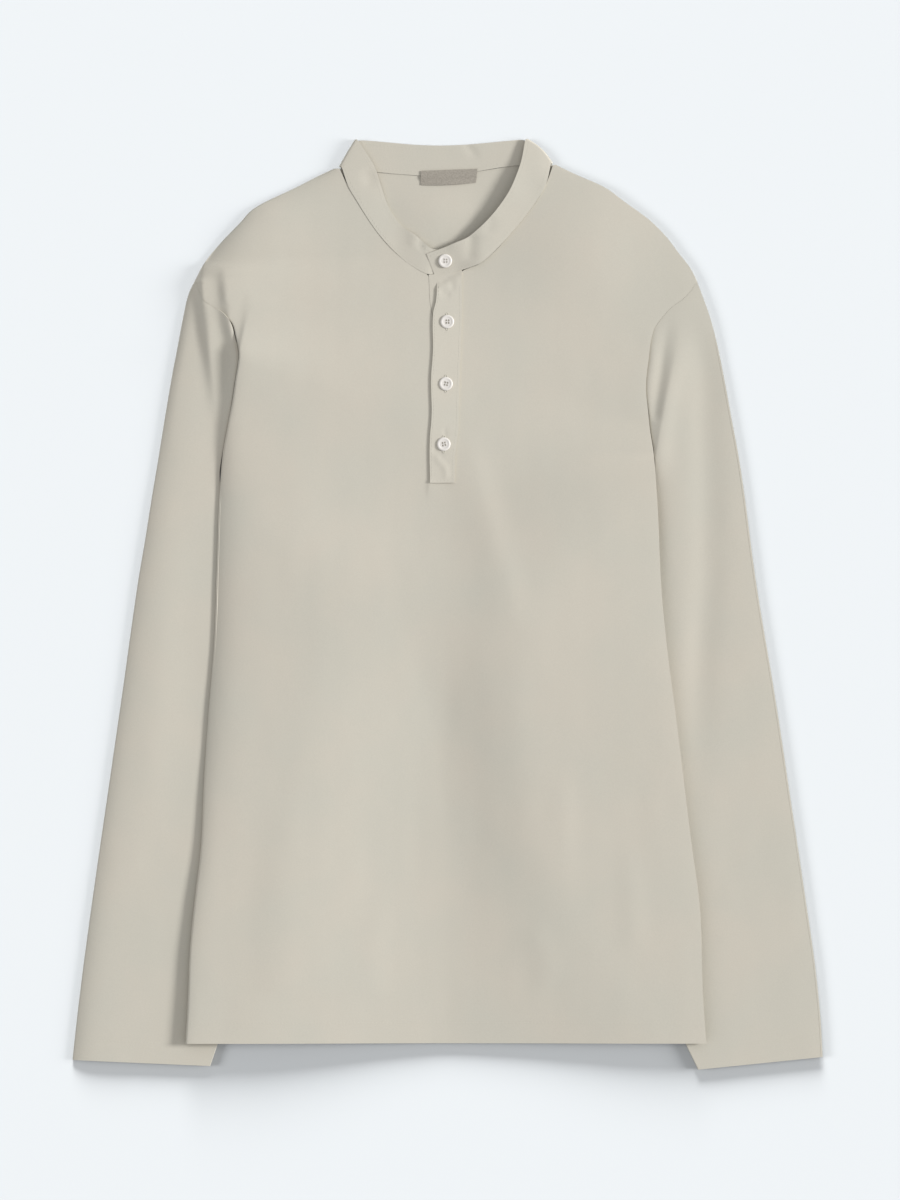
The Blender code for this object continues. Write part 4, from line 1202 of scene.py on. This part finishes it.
def jersey(name, turn, tone_share=1.0):
    """Plain jersey: columns of small V stitches, a soft nap and slight unevenness of tone."""
    # tone_share pales both tones; for the upper strip this paler tone is painted light
    cool, warm = ([value * tone_share for value in tone] for tone in (JERSEY, JERSEY_WARM))
    made = plain(name, cool, MATT)
    tree = made.node_tree
    shader = tree.nodes["Principled BSDF"]
    shader.inputs["Specular IOR Level"].default_value = 0.2
    shader.inputs["Sheen Weight"].default_value = 0.12
    shader.inputs["Sheen Roughness"].default_value = 0.5
    place = tree.nodes.new("ShaderNodeTexCoord").outputs["Object"]
    mapping = node(tree, "ShaderNodeMapping", Rotation=(0, 0, radians(turn)))
    tree.links.new(place, mapping.inputs["Vector"])
    split = tree.nodes.new("ShaderNodeSeparateXYZ")
    tree.links.new(mapping.outputs[0], split.inputs[0])
    wale = maths(tree, "DIVIDE", split.outputs["X"], WALE * MM)
    course = maths(tree, "DIVIDE", split.outputs["Y"], COURSE * MM)
    across = maths(tree, "PINGPONG", wale, 0.5)
    ridge = maths(tree, "SINE", maths(tree, "MULTIPLY", across, pi))
    slant = maths(tree, "ADD", course, across)
    legs = maths(tree, "SINE", maths(tree, "MULTIPLY", slant, 2 * pi))
    knit = maths(tree, "ADD", ridge, maths(tree, "MULTIPLY", legs, KNIT_LEGS))

    fibre = noise(tree, mapping.outputs[0], *NAP)
    colour = two_tones(tree, noise(tree, mapping.outputs[0], *UNEVEN_TONE), cool, warm)
    shade = tree.nodes.new("ShaderNodeMix")
    shade.data_type = "RGBA"
    shade.blend_type = "MULTIPLY"
    shade.inputs["Factor"].default_value = NAP_SHADE
    tree.links.new(colour, shade.inputs["A"])
    tree.links.new(fibre, shade.inputs["B"])
    tree.links.new(shade.outputs["Result"], shader.inputs["Base Color"])
    bump(tree, knit, *KNIT_BUMP, shader)
    bump(tree, fibre, *NAP_BUMP, shader)
    return made


def mottled(name, colour, roughness, scale, variation, depth, weave=None):
    """A finish whose tone and surface vary finely, with a weave if its two pitches are given."""
    made = plain(name, colour, roughness)
    tree = made.node_tree
    shader = tree.nodes["Principled BSDF"]
    place = tree.nodes.new("ShaderNodeTexCoord").outputs["Object"]
    height = noise(tree, place, scale, 3, 0.55)
    low, high = ([value * (1 + way * variation) for value in colour] for way in (-1, 1))
    tree.links.new(two_tones(tree, height, low, high), shader.inputs["Base Color"])
    if weave:
        split = tree.nodes.new("ShaderNodeSeparateXYZ")
        tree.links.new(place, split.inputs[0])
        waves = [
            maths(tree, "SINE", maths(tree, "MULTIPLY", split.outputs[axis], 2 * pi / pitch / MM))
            for axis, pitch in zip("XY", weave)
        ]
        height = maths(tree, "ADD", height, maths(tree, "MULTIPLY", *waves))
    bump(tree, height, 0.5, depth, shader)
    return made


# ---- stage ----

PIXEL = 0.83  # mm of the garment that a pixel of the photograph covers
PHOTO = (900, 1200)  # its width and height, pixels
ORIGIN_PIXEL = (447.5, 604)  # where the origin lies in it
CAMERA_HEIGHT = 5.0  # metres
SENSOR = 36
CLIP = (0.1, 20)  # metres
FLOOR_HALF = 4.0  # metres
FLOOR_COLOUR = (0.272, 0.283, 0.291)
WORLD_STRENGTH = 0.589
# Suns: name, azimuth, elevation, strength and angle. The first lights all but the floor
KEY_LIGHT = ("key_light", 8, 27, 2.95, 14)
KEY_COLOUR = (1.0, 0.99, 0.97)
FLOOR_LIGHTS = (
    ("top_light", 93, 18, 14.0, 24), ("right_light", 0, 20, 5.0, 24),
    ("left_light", 180, 30, 3.4, 24),
)


def sun(name, azimuth, elevation, strength, angle, colour=(1.0, 1.0, 1.0)):
    """A distant light that comes from an azimuth, 0 at +X and 90 at +Y, and a height."""
    light = bpy.data.lights.new(name, "SUN")
    light.energy = strength
    light.angle = radians(angle)
    light.color = colour
    lamp = bpy.data.objects.new(name, light)
    a, e = radians(azimuth), radians(elevation)
    source = Vector((cos(a) * cos(e), sin(a) * cos(e), sin(e)))
    lamp.rotation_mode = "QUATERNION"
    lamp.rotation_quaternion = source.to_track_quat("Z", "Y")
    bpy.context.scene.collection.objects.link(lamp)
    return lamp


def make_camera():
    """Straight above, with the photograph's frame at the height of the cloth."""
    data = bpy.data.cameras.new("camera")
    data.sensor_width = SENSOR
    data.lens = SENSOR * (CAMERA_HEIGHT - STACK * MM) / (PHOTO[1] * PIXEL * MM)
    data.clip_start, data.clip_end = CLIP
    camera = bpy.data.objects.new("camera", data)
    right = (PHOTO[0] / 2 - ORIGIN_PIXEL[0]) * PIXEL * MM
    up = (ORIGIN_PIXEL[1] - PHOTO[1] / 2) * PIXEL * MM
    camera.location = (right, up, CAMERA_HEIGHT)
    bpy.context.scene.collection.objects.link(camera)
    bpy.context.scene.camera = camera


def make_floor():
    """A wide plain floor, which is stage and no part of the garment."""
    half = FLOOR_HALF
    mesh = bpy.data.meshes.new("floor")
    corners = [(-half, -half, 0), (half, -half, 0), (half, half, 0), (-half, half, 0)]
    mesh.from_pydata(corners, [], [(0, 1, 2, 3)])
    mesh.materials.append(plain("floor_paint", FLOOR_COLOUR, MATT))
    floor = bpy.data.objects.new("floor", mesh)
    bpy.context.scene.collection.objects.link(floor)
    return floor


def make_stage():
    """Camera, floor, even surrounding light and the suns."""
    scene = bpy.context.scene
    scene.view_settings.view_transform = "Standard"
    make_camera()
    floor = make_floor()
    world = bpy.data.worlds.new("world")
    world.use_nodes = True
    world.node_tree.nodes["Background"].inputs[0].default_value = (1.0, 1.0, 1.0, 1)
    world.node_tree.nodes["Background"].inputs[1].default_value = WORLD_STRENGTH
    scene.world = world
    link_floor(sun(*KEY_LIGHT, KEY_COLOUR), floor, "EXCLUDE")
    for light in FLOOR_LIGHTS:
        link_floor(sun(*light), floor, "INCLUDE")


def link_floor(light, floor, state):
    """Lets a light fall on the floor alone, or on all but the floor."""
    lit = bpy.data.collections.new(f"lit_by_{light.name}")
    lit.objects.link(floor)
    lit.collection_objects[0].light_linking.link_state = state
    light.light_linking.receiver_collection = lit


def main():
    """All pieces, each riding on the one body and replacing its solid, then the sewing."""
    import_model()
    make_stage()
    collar, collar_outer, collar_inner = make_collar()
    made = {
        "front": (make_front(), ["back", "sleeve_right", "sleeve_left"]),
        "back": (make_back(), ["sleeve_right", "sleeve_left"]),
        "sleeve_right": (make_sleeve("right"), ["floor"]),
        "sleeve_left": (make_sleeve("left"), ["floor"]),
        "collar_band": (collar, ["back"]),
        "placket_over": (make_placket_over(), ["front", "placket_under"]),
        "placket_under": (make_placket_under(), ["back"]),
        "neck_label": (make_label(), ["back", "collar_band"]),
    }
    cloths = {
        "sleeve_right": jersey("jersey_sleeve_right", SLEEVE_TURN["right"]),
        "sleeve_left": jersey("jersey_sleeve_left", SLEEVE_TURN["left"]),
        # the upper strip's paler tone is painted light, not a colour of its own cloth
        "placket_over": jersey("jersey_placket_painted_light", 0, STRIP_PAINTED_LIGHT),
        "neck_label": mottled("label_weave", *LABEL),
    }
    body = jersey("jersey_body", 0)
    for name, (piece, rests_on) in made.items():
        piece.data.materials.append(cloths.get(name, body))
        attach(piece, "root")
        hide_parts(name)
    resin = mottled("button_resin", *RESIN)
    for number, (x, y) in enumerate(BUTTONS, 1):
        base = COLLAR_TOP + TAB_RISE + OVER_TAB
        if number > 1:
            base = float(placket_top(np.array([x]), np.array([y]))[0])
        button = make_button(number, base)
        button.data.materials.append(resin)
        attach(button, "root")
        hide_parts(f"button_{number}")
    thread = mottled("sewing_thread", *THREAD)
    sewn = [
        make_stitches("hem_stitches", [hem_run()]),
        make_stitches("cuff_stitches", [cuff_run(side) for side in INWARD]),
        make_stitches("placket_stitches", placket_runs()),
        make_stitches("collar_stitches", collar_runs(collar_outer, collar_inner)),
        make_buttonholes(),
    ]
    for piece in sewn:
        piece.data.materials.append(thread)
        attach(piece, "root")


main()
